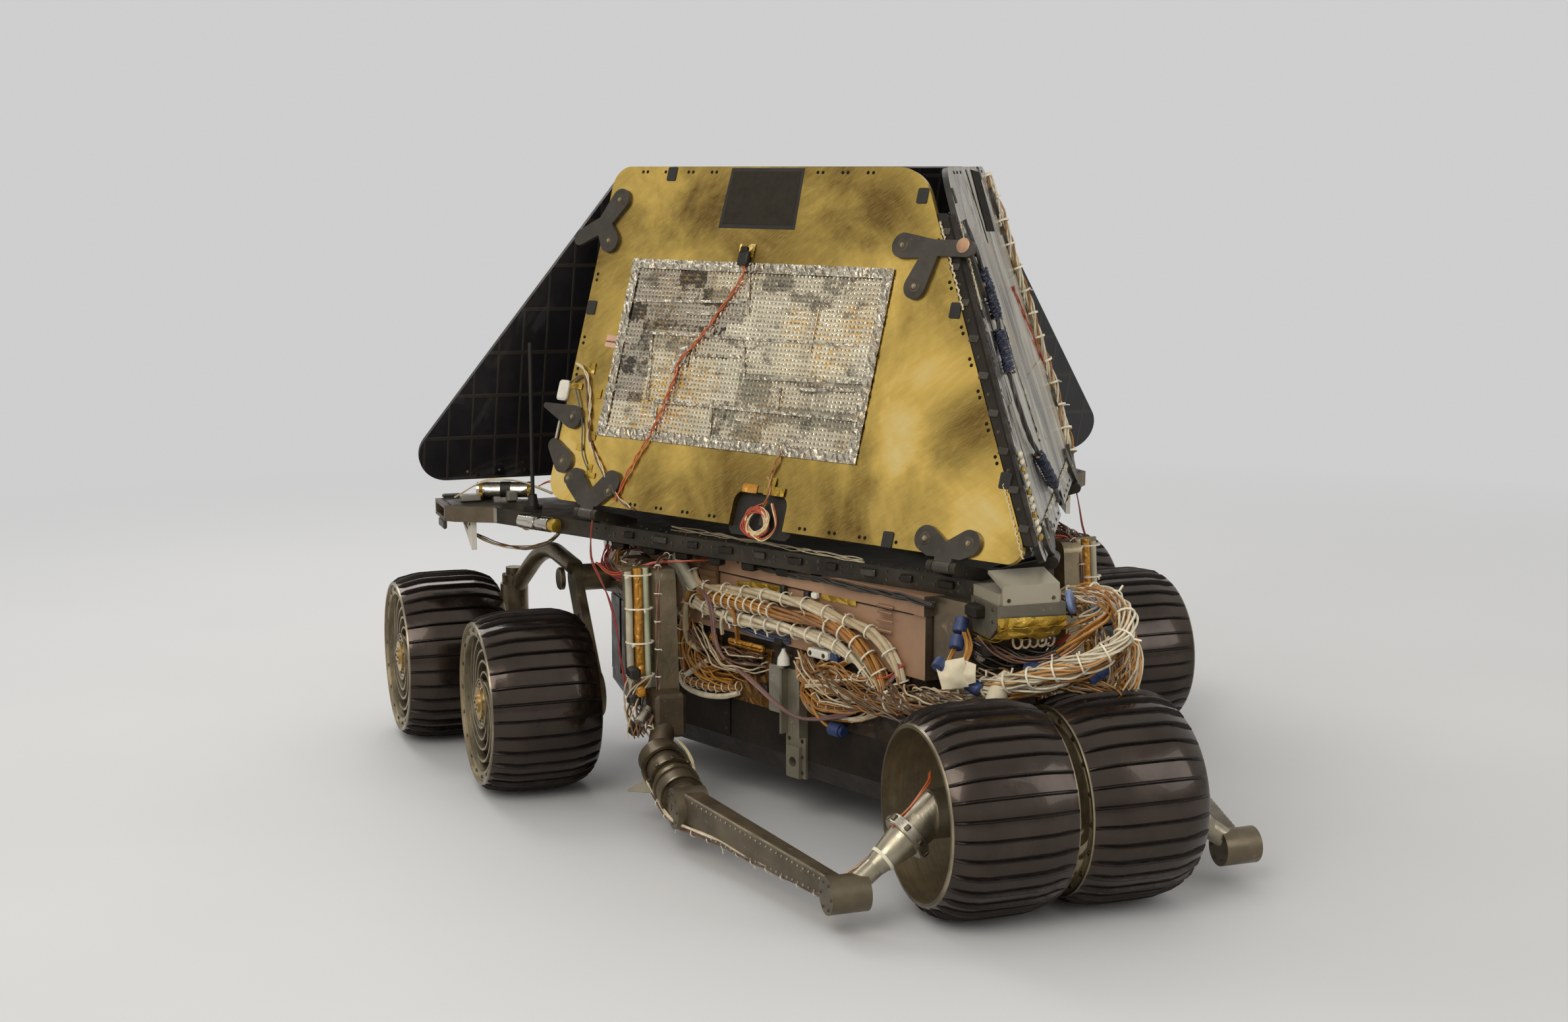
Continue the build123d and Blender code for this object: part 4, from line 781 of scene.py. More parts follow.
def ties(name, body, routes, spacing=None, grow=1.12, band=0.34, tail=0.9, seed=1):
    spacing = spacing * MM if spacing else bpy.context.scene.rover_wiring.tie_spacing
    return grown(name, body, route_mesh(routes), tie_tree, "tie", spacing=spacing, grow=grow, band=band,
                 tail=tail, seed=seed)


def studs(name, body, finish, places, sides=6, height=0.6, washer=1.5, washer_height=0.2, seed=1):
    """Bolt heads, rivets or plugs. Each place is a point, the way it faces and its radius in millimetres."""
    mesh = bpy.data.meshes.new("places")
    points, facings, sizes = zip(*places)
    mesh.from_pydata(points, [], [])
    mesh.attributes.new("girth", "FLOAT", "POINT").data.foreach_set("value", [size * MM for size in sizes])
    mesh.attributes.new("facing", "FLOAT_VECTOR", "POINT").data.foreach_set(
        "vector", [value for facing in facings for value in facing])
    return grown(name, body, mesh, stud_tree, finish, sides=sides, height=height, washer=washer,
                 washer_height=washer_height, seed=seed)


# Mesh pieces
def frame_of(direction):
    """Two directions square to a given one."""
    direction = Vector(direction).normalized()
    side = direction.cross(Vector((0, 0, 1)) if abs(direction.z) < 0.9 else Vector((1, 0, 0))).normalized()
    return side, side.cross(direction).normalized()


class Build:
    """One piece in the making, from closed shells, each with its own finish. Sizes in millimetres."""

    def __init__(self, name, body):
        self.name, self.body = name, body
        self.bm = bmesh.new()
        self.names = []

    def add(self, finish, verts, faces):
        if finish not in self.names:
            self.names.append(finish)
        made = [self.bm.verts.new(v) for v in verts]
        for face in faces:
            self.bm.faces.new([made[i] for i in face]).material_index = self.names.index(finish)

    def block(self, finish, centre, size, axes=((1, 0, 0), (0, 1, 0), (0, 0, 1)), bevel=1.0):
        """A box with bevelled edges."""
        x, y, z = [Vector(a) for a in axes]
        half = [s / 2 * MM for s in size]
        bevel = min(bevel * MM, min(half) * 0.6)
        layers = []
        for up, inset in ((-half[2], bevel), (-half[2] + bevel, 0), (half[2] - bevel, 0), (half[2], bevel)):
            w, d = half[0] - inset, half[1] - inset
            corners = ((w, d - bevel), (w - bevel, d), (bevel - w, d), (-w, d - bevel), (-w, bevel - d),
                       (bevel - w, -d), (w - bevel, -d), (w, bevel - d))
            layers.append([Vector(centre) + x * a + y * b + z * up for a, b in corners])
        self.stack(finish, layers)

    def stack(self, finish, layers, closed=False):
        """A skin over rings of points, with its ends closed, or joined into a loop."""
        count, rings = len(layers[0]), len(layers)
        verts = [v for layer in layers for v in layer]
        faces = []
        for i in range(rings if closed else rings - 1):
            a, b = i * count, (i + 1) % rings * count
            faces += [(a + k, a + (k + 1) % count, b + (k + 1) % count, b + k) for k in range(count)]
        if not closed:
            faces += [tuple(range(count)), tuple(range((rings - 1) * count, rings * count))]
        self.add(finish, verts, faces)

    def turned(self, finish, start, axis, profile, sides=20, closed=False):
        """A round piece from (place along the axis, radius) pairs."""
        axis = Vector(axis).normalized()
        side, other = frame_of(axis)
        layers = []
        for along, radius in profile:
            centre = Vector(start) + axis * along * MM
            turns = [2 * pi * k / sides for k in range(sides)]
            layers.append([centre + (side * cos(turn) + other * sin(turn)) * radius * MM for turn in turns])
        self.stack(finish, layers, closed)

    def ring(self, finish, start, axis, low, high, inner, outer, sides=28):
        """A ring of square section."""
        self.turned(finish, start, axis, ((low, inner), (low, outer), (high, outer), (high, inner)), sides,
                    closed=True)

    def plate(self, finish, face, outline, lift, thick, bevel=0.6):
        """A flat plate on a face, from its outline."""
        mid_x = sum(x for x, y in outline) / len(outline)
        mid_y = sum(y for x, y in outline) / len(outline)
        layers = []
        for height, inset in ((lift, 0), (lift + thick - bevel, 0), (lift + thick, bevel)):
            layers.append([face.at(x - inset * (x - mid_x) / max(1.0, hypot(x - mid_x, y - mid_y)),
                                   y - inset * (y - mid_y) / max(1.0, hypot(x - mid_x, y - mid_y)), height)
                           for x, y in outline])
        self.stack(finish, layers)

    def film(self, finish, corners, off, wrinkle=0.6, grain=60.0, cells=(12, 12), thick=0.4, seed=0,
             sag=0.0):
        """A thin crumpled sheet between four corners, with a closed rim."""
        off = Vector(off).normalized()
        a, b, c, d = [Vector(p) for p in corners]
        nu, nv = cells
        top, low = [], []
        for j in range(nv + 1):
            for i in range(nu + 1):
                u, v = i / nu, j / nv
                place = a * (1 - u) * (1 - v) + b * u * (1 - v) + c * u * v + d * (1 - u) * v
                height = noise.noise(place * grain + Vector((seed * 7.7, 0, 0)))
                height += 0.5 * noise.noise(place * grain * 2.3 + Vector((0, seed * 3.1, 0)))
                height = max(0.0, 0.5 + height) * wrinkle + sag * sin(pi * u) * sin(pi * v)
                top.append(place + off * (height + thick) * MM)
                low.append(place + off * height * MM)
        count = len(top)

        def at(i, j):
            return j * (nu + 1) + i

        faces = []
        for j in range(nv):
            for i in range(nu):
                quad = (at(i, j), at(i + 1, j), at(i + 1, j + 1), at(i, j + 1))
                faces += [quad, tuple(count + k for k in reversed(quad))]
        edge = [at(i, 0) for i in range(nu)] + [at(nu, j) for j in range(nv)]
        edge += [at(i, nv) for i in range(nu, 0, -1)] + [at(0, j) for j in range(nv, 0, -1)]
        faces += [(b, a, count + a, count + b) for a, b in zip(edge, edge[1:] + edge[:1])]
        self.add(finish, top + low, faces)

    def done(self):
        bmesh.ops.recalc_face_normals(self.bm, faces=self.bm.faces)
        mesh = bpy.data.meshes.new(self.name)
        self.bm.to_mesh(mesh)
        self.bm.free()
        mesh.shade_smooth()
        mesh.set_sharp_from_angle(angle=radians(35))
        piece = bpy.data.objects.new(self.name, mesh)
        bpy.context.scene.collection.objects.link(piece)
        for name in self.names:
            mesh.materials.append(finishes()[name])
        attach(piece, self.body)
        return piece


def rect(x, y, width, height):
    """A rectangle's outline with clipped corners."""
    w, h = width / 2, height / 2
    c = min(w, h) * 0.2
    return [(x + w, y + h - c), (x + w - c, y + h), (x - w + c, y + h), (x - w, y + h - c),
            (x - w, y - h + c), (x - w + c, y - h), (x + w - c, y - h), (x + w, y - h + c)]


def ring_places(centre, axis, radius, count, size):
    """Places round an axis, which face along it."""
    side, other = frame_of(axis)
    places = []
    for k in range(count):
        angle = 2 * pi * k / count
        out = side * cos(angle) + other * sin(angle)
        places.append((Vector(centre) + out * radius * MM, Vector(axis), size))
    return places


# Wheels
SKIN = ((-80, 107.5), (-78, 109.6), (-71, 113.5), (-64, 117), (-52, 121.4), (-38, 124.3), (-18, 125),
        (18, 125), (36, 124.7), (48, 123.3), (58, 121), (70, 118.4), (78, 116.6), (80, 115.8))
INSIDE = ((80, 112), (60, 112), (58, 117), (35, 121), (-35, 121), (-52, 117.4), (-64, 113), (-74, 107.5),
          (-80, 103.8))
DRUM_SIDES = 128
CLEAT_BASE, CLEAT_HEIGHT, CLEAT_END_HEIGHT = -1.0, 4.9, 1.2
HUB_BOLTS = ((76, 105, 18, 2.6), (72, 27.5, 9, 2.0), (79, 8, 4, 1.6))      # lift, ring, count, head
HUB_TRIMS = ((76, 99.5, 101.7), (72, 33.5, 35.3))                           # lift, inner and outer radius


def wheel_drum(name, place, hub_way):
    """The crowned drum, smooth outside and bare inside, in place of its plain node."""
    piece = Build(f"{name}_drum", f"{name}_wheel")
    piece.turned("wheel", place, (0, hub_way, 0), SKIN + INSIDE, DRUM_SIDES, closed=True)
    piece.names += ["lip", "drum inside"]
    for number, face in enumerate(piece.bm.faces):
        row = number // DRUM_SIDES
        if row in (0, len(SKIN) - 2, len(SKIN) - 1, len(SKIN + INSIDE) - 1):
            face.material_index = 1
        elif row >= len(SKIN):
            face.material_index = 2
    return piece.done()


def cleats(name, place, hub_way, count):
    """The ridges across the tread, round each wheel."""
    path = [(along, radius) for along, radius in SKIN if -79 <= along <= 79]
    layers = []
    for number, (along, radius) in enumerate(path):
        end = number in (0, len(path) - 1)
        height = CLEAT_END_HEIGHT if end else CLEAT_HEIGHT
        section = ((-2.6, CLEAT_BASE), (-1.5, height * 0.72), (-0.7, height), (0.7, height),
                   (1.5, height * 0.72), (2.6, CLEAT_BASE))
        layers.append([Vector((across, along * hub_way, radius + up)) * MM for across, up in section])
    piece = Build("cleat", None)
    piece.stack("cleat", layers)
    bmesh.ops.recalc_face_normals(piece.bm, faces=piece.bm.faces)
    mesh = bpy.data.meshes.new("cleat")
    piece.bm.to_mesh(mesh)
    piece.bm.free()
    return grown(f"{name}_cleats", f"{name}_wheel", mesh, circle_tree, "cleat", count=count, centre=place)


class ROVER_OT_wheels(bpy.types.Operator):
    """Makes the six crowned drums with their cleats, and the bolts of the hubs"""

    bl_idname = "rover.wheels"
    bl_label = "Make the Wheels"

    def execute(self, context):
        for name, (place, hub_way) in WHEELS.items():
            drum = wheel_drum(name, place, hub_way)
            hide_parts(f"{name}_rim")
            cleats(name, place, hub_way, context.scene.rover_wiring.cleats)
            axis = Vector((0, hub_way, 0))
            bolts = []
            for lift, ring, count, size in HUB_BOLTS:
                bolts += ring_places(place + axis * (lift * MM), axis, ring, count, size)
            studs(f"{name}_hub_bolts", f"{name}_wheel", "dark steel", bolts, height=0.7)
            trim = Build(f"{name}_hub_trim", f"{name}_wheel")
            for lift, inner, outer in HUB_TRIMS:
                trim.ring("hub", place, axis, lift - 3, lift + 0.8, inner, outer, 64)
            trim.done()
        return {"FINISHED"}


# Wings
def lacing(name, body, face, runs):
    """Pairs of small lacing holes along runs, each given by its two ends and how many pairs it has. Each hole
    is a flat dark disc of painted shade.
    """
    places = []
    for (x0, y0), (x1, y1), count in runs:
        length = hypot(x1 - x0, y1 - y0)
        dx, dy = (x1 - x0) / length, (y1 - y0) / length
        for k in range(count):
            along = length * (k + 0.5) / count
            for shift in (-4.5, 4.5):
                place = face.at(x0 + dx * (along + shift), y0 + dy * (along + shift), 0.15)
                places.append((place, face.off, 2.0))
    return studs(name, body, "hole", places, 10, 0.06, 1.25, 0.1)


def nose_edge(height):
    """Where a wing's nose edge lies along the hinge line, at a height up the slant."""
    return NOSE_EDGE + NOSE_SLOPE * height


PATCH_TAPES = (             # finish, the first corner, the opposite corner, how far it lies off the wing
    # the patch tapes are one silver, painted lighter and darker as reflections
    ("patch", (323, 320), (788, 371), 0.3), ("patch with bright painted reflection", (323, 272), (590, 324), 0.6),
    ("patch with dark painted reflection", (588, 272), (788, 322), 0.4), ("patch with bright painted reflection", (323, 222), (570, 274), 0.9),
    ("patch", (568, 244), (730, 274), 0.6), ("patch with bright painted reflection", (545, 172), (728, 246), 0.4),
    ("patch with dark painted reflection", (721, 168), (788, 274), 0.8), ("patch", (332, 174), (547, 224), 0.3),
    ("patch", (332, 118), (581, 176), 0.6), ("patch with bright painted reflection", (580, 118), (685, 173), 0.3),
    ("patch with bright painted reflection", (684, 118), (787, 170), 0.5), ("patch with dark painted reflection", (628, 322), (780, 362), 1.0),
    ("patch", (430, 224), (447, 326), 1.4), ("patch with dark painted reflection", (560, 290), (672, 322), 1.1),
    ("patch", (655, 176), (672, 270), 1.2),
)
PATCH_BORDERS = (((318, 362), (792, 376)), ((318, 114), (792, 128)), ((318, 114), (334, 376)),
                 ((776, 114), (792, 376)))
PATCH_SEAMS = (             # ends of the crumpled ridges between the tapes
    (777, 314, 565, 320), (728, 268, 356, 271), (639, 250, 634, 229), (637, 241, 538, 244),
    (551, 268, 537, 217), (536, 215, 326, 222), (725, 269, 707, 170), (694, 171, 325, 172),
    (586, 179, 575, 119), (567, 366, 553, 303), (560, 303, 667, 300), (469, 205, 467, 173),
    (560, 181, 560, 155), (438, 205, 330, 212), (689, 169, 678, 115),
)
WING_HINGE_LOBES = ((118, 33), (184, 32), (742, 36), (827, 46))
LATCH_LOBES = ((842, 462), (847, 400), (845, 136), (846, 70), (311, 407), (279, 353))
EDGE_TABS = ((210, 325), (298, 475), (753, 503), (85, 116), (244, 24), (858, 300))


def tape_on(piece, finish, face, low, high, lift, wrinkle=0.7, grain=70.0, seed=0, step=16.0):
    """A rectangle of tape on a face."""
    (x0, y0), (x1, y1) = low, high
    cells = (max(2, round(abs(x1 - x0) / step)), max(2, round(abs(y1 - y0) / step)))
    corners = [face.at(x, y, lift) for x, y in ((x0, y0), (x1, y0), (x1, y1), (x0, y1))]
    piece.film(finish, corners, face.off, wrinkle, grain, cells, 0.3, seed)


def spot_tape(piece, finish, face, spot, lift, wrinkle, grain, seed):
    """A small piece of tape from its middle, width and height."""
    x, y, width, height = spot
    tape_on(piece, finish, face, (x - width / 2, y - height / 2), (x + width / 2, y + height / 2), lift,
            wrinkle, grain, seed, 4)


def bracket_bolts(name, body, face, lobes):
    """The countersunk bolt and its ring on each round lobe."""
    rings = [(face.at(x, y, 4.9), face.off, 5.2) for x, y in lobes]
    studs(f"{name}_rings", body, "dark steel", rings, 16, 0.14, 1.7, 0.12)
    heads = [(face.at(x, y, 6.0), face.off, 2.6) for x, y in lobes]
    studs(f"{name}_heads", body, "hub", heads, 6, 0.5, 1.3, 0.2)


def wing_edge_fittings(side_name):
    """What both wings carry: lacing holes, tabs, bracket bolts, the rail on the nose edge."""
    face, body = WING[side_name], f"{side_name}_wing_body"
    bracket_bolts(f"{side_name}_bracket", body, face, WING_HINGE_LOBES + LATCH_LOBES)
    lacing(f"{side_name}_lacing_holes", body, face, (
        ((nose_edge(120) + 7, 120), (nose_edge(320) + 7, 320), 5),
        ((nose_edge(330) + 7, 330), (nose_edge(440) + 7, 440), 2),
        ((210, 22), (410, 22), 4), ((520, 22), (720, 22), 4), ((370, 506), (500, 506), 3),
        ((650, 506), (830, 506), 4), ((860, 180), (860, 370), 4)))
    piece = Build(f"{side_name}_wing_fittings", body)
    for x, y in EDGE_TABS:
        piece.plate("black", face, rect(x, y, 17, 21), 0.05, 1.6)
    outline = [(nose_edge(40) - 14, 40), (nose_edge(40) - 1, 40), (nose_edge(452) - 1, 452),
               (nose_edge(452) - 16, 452)]
    piece.plate("rail", face, outline, -8, 7.4)
    for height in range(60, 440, 46):
        piece.block("bracket", face.at(nose_edge(height) - 7.5, height, 0.2), (14, 9, 2.4), face.axes())
    piece.done()
    screws = [(face.at(nose_edge(h) - 7.5, h, -0.4), face.off, 1.7) for h in range(83, 440, 23)]
    studs(f"{side_name}_rail_screws", body, "dark steel", screws)
    cord = [face.at(nose_edge(h) - 3 - 2.0 * (k % 2), h, 1.6) for k, h in enumerate(range(326, 446, 5))]
    bundle(f"{side_name}_edge_cord", body, "pale wire", [(0.9, cord)], 2, 0.8, 1.0, 9, step=2.5)


WING_RUNS = (               # name, finish, girth, wires, twist, points on the wing
    ("red_pair", "red orange wire", 1.5, 2, 2.2, ((579, 377, 7), (574, 357, 6), (592, 326, 4), (630, 267, 4),
     (658, 232, 5), (665, 196, 4), (684, 128, 4), (708, 78, 4), (722, 42, 3), (730, 24, 2))),
    ("yellow_pair", "orange wire", 1.5, 2, 2.4, ((449, 128, 2), (446, 112, 4), (453, 84, 4), (450, 60, 4),
     (458, 44, 0))),
    ("white_pair", "pale wire", 1.4, 2, 2.0, ((862, 216, 3), (845, 208, 4), (828, 188, 3), (812, 140, 3),
     (806, 108, 3), (772, 73, 3), (733, 36, 3), (696, 16, 1))),
    ("brown_line", "brown wire", 1.2, 2, 1.6, ((866, 186, 4), (838, 196, 4), (818, 150, 3), (800, 104, 3),
     (768, 66, 3), (722, 28, 3), (688, 14, 1))),
    ("thin_line", "brown wire", 0.1, 1, 0.0, ((813, 252, 1), (788, 251, 1.2), (770, 250, 2))),
    ("blue_line", "blue wire", 0.1, 1, 0.0, ((793, 62, 3), (812, 86, 3), (826, 132, 3), (852, 178, 4))),
)
COIL_ENDS = (
    ((452, 52, 0), (476, 38, 1), (489, 14, 1), (470, 2, 0)),
    ((444, 50, 0), (430, 20, 1), (446, 0, 2), (468, 6, 2)),
)


class ROVER_OT_right_wing(bpy.types.Operator):
    """Dresses the gold wing: silver patch, black square, coil, wires, tapes and lacing"""

    bl_idname = "rover.right_wing"
    bl_label = "Dress the Right Wing"

    def execute(self, context):
        face, body = WING["right"], "right_wing_body"
        wing_edge_fittings("right")
        piece = Build("right_wing_patch", body)
        for seed, (finish, low, high, lift) in enumerate(PATCH_TAPES):
            tape_on(piece, finish, face, low, high, lift, 0.6, 45, seed)
        for seed, (low, high) in enumerate(PATCH_BORDERS):
            tape_on(piece, "silver border", face, low, high, 1.2, 2.0, 160, seed + 20, 4)
        for seed, (x0, y0, x1, y1) in enumerate(PATCH_SEAMS):
            length = hypot(x1 - x0, y1 - y0)
            dx, dy = (x1 - x0) / length, (y1 - y0) / length
            corners = [face.at(x - dy * w, y + dx * w, 1.5) for x, y, w in
                       ((x0, y0, -2.1), (x1, y1, -2.1), (x1, y1, 2.1), (x0, y0, 2.1))]
            piece.film("silver border", corners, face.off, 2.2, 200, (max(4, round(length / 5)), 2), 0.3,
                       seed + 30)
        piece.done()
        piece = Build("right_wing_parts", body)
        axes = face.axes()
        square = [(503, 425), (643, 425), (640, 512), (507, 512)]
        piece.plate("black", face, square, 0.05, 0.6)
        piece.plate("matt black", face, [(509, 431), (637, 431), (635, 507), (512, 507)], 0.6, 0.5, 0.3)
        piece.block("black", face.at(579, 381, 5), (17, 21, 9), axes, 1.5)
        piece.block("rail", face.at(579, 393, 7), (12, 9, 8), axes, 1.5)
        tape_on(piece, "yellow film", face, (566, 384), (594, 403), 0.4, 1.0, 120, 3, 4)
        piece.plate("black", face, rect(465, 36, 108, 66), -10.4, 1.6)
        piece.block("bracket", face.at(455, 27, -5), (16, 18, 6), axes)
        piece.plate("pink tape", face, [(765, 240), (815, 244), (814, 262), (764, 257)], 0.1, 0.4, 0.1)
        for seed, spot in enumerate((
                (854, 182, 24, 9), (830, 210, 12, 16), (806, 174, 10, 14), (801, 112, 13, 13),
                (821, 94, 14, 10), (793, 63, 10, 16), (785, 55, 12, 8), (664, 188, 16, 12),
                (452, 72, 18, 24), (440, 66, 30, 12))):
            spot_tape(piece, "yellow film", face, spot, 0.6 if seed < 8 else 1.6, 1.0, 150, seed)
        for seed, spot in enumerate(((655, 238, 22, 30), (668, 222, 14, 16), (618, 276, 20, 12))):
            spot_tape(piece, "silver border", face, spot, 2.2, 1.2, 150, seed + 40)
        piece.plate("orange film", face, rect(487, 66, 26, 12), 0.6, 1.2)
        piece.block("white", face.at(878, 174, 0), (20, 30, 12), axes, 3)
        piece.block("grey", face.at(872, 104, 2), (3, 50, 5), axes)
        piece.turned("copper", face.at(215, 409, 4.6), face.off, ((0, 10), (0.8, 10), (1.2, 8)), 24)
        piece.done()
        for name, finish, girth, wires, twist, points in WING_RUNS:
            bundle(f"right_wing_{name}", body, finish, [(girth, face.way(points))], wires, 1.1, 1.0, twist,
                   0.6, 4)
        turns = []
        for k in range(60):
            angle = 2 * pi * k / 15
            radius = 17 + 2.2 * sin(k * 0.7)
            turns.append(face.at(464 + radius * 1.1 * cos(angle), 22 + radius * sin(angle),
                                 1.0 + 1.2 * sin(k * 0.4)))
        bundle("right_wing_coil", body, "coil wire", [(2.6, turns)], 4, 1.1, 0.8, 1.0, 1.6, 4, seed=4)
        bundle("right_wing_coil_ends", body, "coil wire", [(1.2, face.way(p)) for p in COIL_ENDS], 2, 1.0,
               1.0, 1, 0.8, 4, seed=8)
        corner = [face.at(nose_edge(h) + 4 + 2.0 * (k % 2), h, 0.8) for k, h in enumerate(range(24, 116, 4))]
        bundle("right_wing_corner_cord", body, "pale wire", [(0.8, corner)], 2, 0.6, 1.0, 9, step=2.5)
        return {"FINISHED"}


class ROVER_OT_left_wing(bpy.types.Operator):
    """Dresses the silver wing: tape strips, a dark plate of painted shade for the slot, spiral-wrapped
    bundles and wires
    """

    bl_idname = "rover.left_wing"
    bl_label = "Dress the Left Wing"

    def execute(self, context):
        face, body = WING["left"], "left_wing_body"
        axes = face.axes()
        wing_edge_fittings("left")
        piece = Build("left_wing_tapes", body)
        strips = ((130, 40, 840, 120), (180, 116, 520, 200), (516, 110, 840, 204), (236, 196, 846, 262),
                  (270, 258, 560, 332), (552, 258, 846, 340), (310, 326, 850, 404))
        for seed, (x0, y0, x1, y1) in enumerate(strips):
            tape_on(piece, "polished", face, (x0, y0), (x1, y1), 0.3 * (seed % 3), 0.7, 12, seed + 60, 22)
        borders = ((130, 40, 840, 50), (834, 44, 848, 402), (420, 120, 432, 330))
        for seed, (x0, y0, x1, y1) in enumerate(borders):
            tape_on(piece, "silver border", face, (x0, y0), (x1, y1), 0.9, 1.6, 150, seed + 80, 6)
        tape_on(piece, "polished", face, (560, 400), (752, 510), 0.6, 0.8, 20, 90, 16)
        # the slot: a flat dark plate of painted shade
        piece.plate("hole", face, [(582, 417), (695, 413), (732, 505), (620, 509)], 1.8, 0.8)
        for k in range(12):
            height = 44 + k * 9
            x = nose_edge(height) + 24
            piece.block("paper" if k % 3 else "yellow film", face.at(x, height, 2.5), (22, 6, 5), axes, 2)
        piece.block("black", face.at(296, 276, 4), (16, 22, 9), axes)
        piece.block("steel", face.at(296, 262, 4), (12, 9, 7), axes)
        piece.done()
        wraps = (((286, 372, 8), (291, 340, 9), (293, 305, 8)),
                 ((272, 290, 8), (250, 262, 9), (236, 236, 8)),
                 ((286, 118, 8), (320, 92, 9), (368, 64, 8)))
        joins = (((300, 440, 4), (288, 405, 7), (286, 372, 8)),
                 ((293, 305, 8), (284, 298, 8), (272, 290, 8)),
                 ((236, 236, 8), (230, 190, 7), (250, 150, 7), (286, 118, 8)),
                 ((368, 64, 8), (400, 44, 5), (440, 26, 3)))
        routes = [face.way(points) for points in wraps]
        bundle("left_wing_core", body, "white wire", [(0.1, p) for p in routes], 1, 5.4, step=6, sides=12)
        bundle("left_wing_wraps", body, "navy", [(6.0, p) for p in routes], 3, 2.4, 1.0, 7.0, step=2.5)
        bundle("left_wing_joins", body, "black wire", [(2.2, face.way(p)) for p in joins], 4, 1.8, 0.7, 1.0,
               0.8, 6)
        red = ((702, 327, 4), (740, 292, 3), (776, 250, 4), (820, 212, 3), (856, 181, 3))
        bundle("left_wing_red_wire", body, "red wire", [(1.2, face.way(red))], 2, 1.1, 1.0, 1.5, 1.0, 5)
        rear = ((846, 500, 2), (850, 450, 5), (842, 380, 5), (850, 300, 6), (846, 230, 6), (852, 160, 6),
                (838, 100, 6), (820, 50, 4))
        bundle("left_wing_rear_wires", body, "mixed wire", [(7, face.way(rear))], 9, 1.6, 0.0, 0.8, 4.0, 6,
               seed=3)
        ties("left_wing_rear_ties", body, [(8, face.way(rear))], 38, 1.2)
        return {"FINISHED"}


class ROVER_OT_rear_panel(bpy.types.Operator):
    """Dresses the rear panel and the folded tip panels"""

    bl_idname = "rover.rear_panel"
    bl_label = "Dress the Rear Panel"

    def execute(self, context):
        body = "rear_panel_body"
        bracket_bolts("rear_bracket", body, REAR, ((-334, 34), (-260, 40), (266, 34), (340, 40)))
        slope = (615 - 281) / (514 - 14.5)
        runs = [((-540, 24), (540, 24), 16), ((-250, 506), (250, 506), 8)]
        for sign in (-1, 1):
            runs.append(((sign * (605 - slope * 60), 70), (sign * (605 - slope * 440), 450), 7))
        lacing("rear_lacing_holes", body, REAR, runs)
        piece = Build("rear_panel_parts", body)
        tapes = (((-230, 130), (20, 300)), ((14, 130), (230, 210)), ((14, 204), (230, 300)))
        for seed, (low, high) in enumerate(tapes):
            tape_on(piece, "silver", REAR, low, high, 0.3 + 0.3 * seed, 0.9, 40, seed + 100, 16)
        for x, y in ((-400, 250), (400, 250), (-180, 498), (180, 498), (-520, 60), (520, 60)):
            piece.plate("black", REAR, rect(x, y, 20, 18), 0.05, 1.6)
        piece.block("black", REAR.at(0, 330, 5), (26, 18, 9), REAR.axes(), 2)
        piece.done()
        run = ((0, 326, 6), (10, 300, 4), (-20, 240, 4), (16, 160, 4), (4, 90, 4), (20, 24, 2))
        bundle("rear_panel_wires", body, "red orange wire", [(1.5, REAR.way(run))], 2, 1.1, 1.0, 2.0, 0.8, 5)
        inner = [(REAR.at(x, y, -8.2), -REAR.off, 1.6) for x in range(-500, 501, 50) for y in (28, 440)
                 if abs(x) < 600 - slope * y]
        studs("rear_inner_rivets", body, "steel", inner, 8, 0.5, 1.4, 0.2)
        for side_name, side in SIDES:
            face = WING[side_name]
            tip = [(face.at(842, height + shift, -20.2), -face.off, 2.2)
                   for height in (90, 330) for shift in (-14, 14)]
            tip += [(face.at(x, 32, -20.2), -face.off, 1.6) for x in range(630, 850, 40)]
            studs(f"{side_name}_tip_rivets", f"{side_name}_wing_body", "dark steel", tip, 8, 0.5, 1.4)
        return {"FINISHED"}


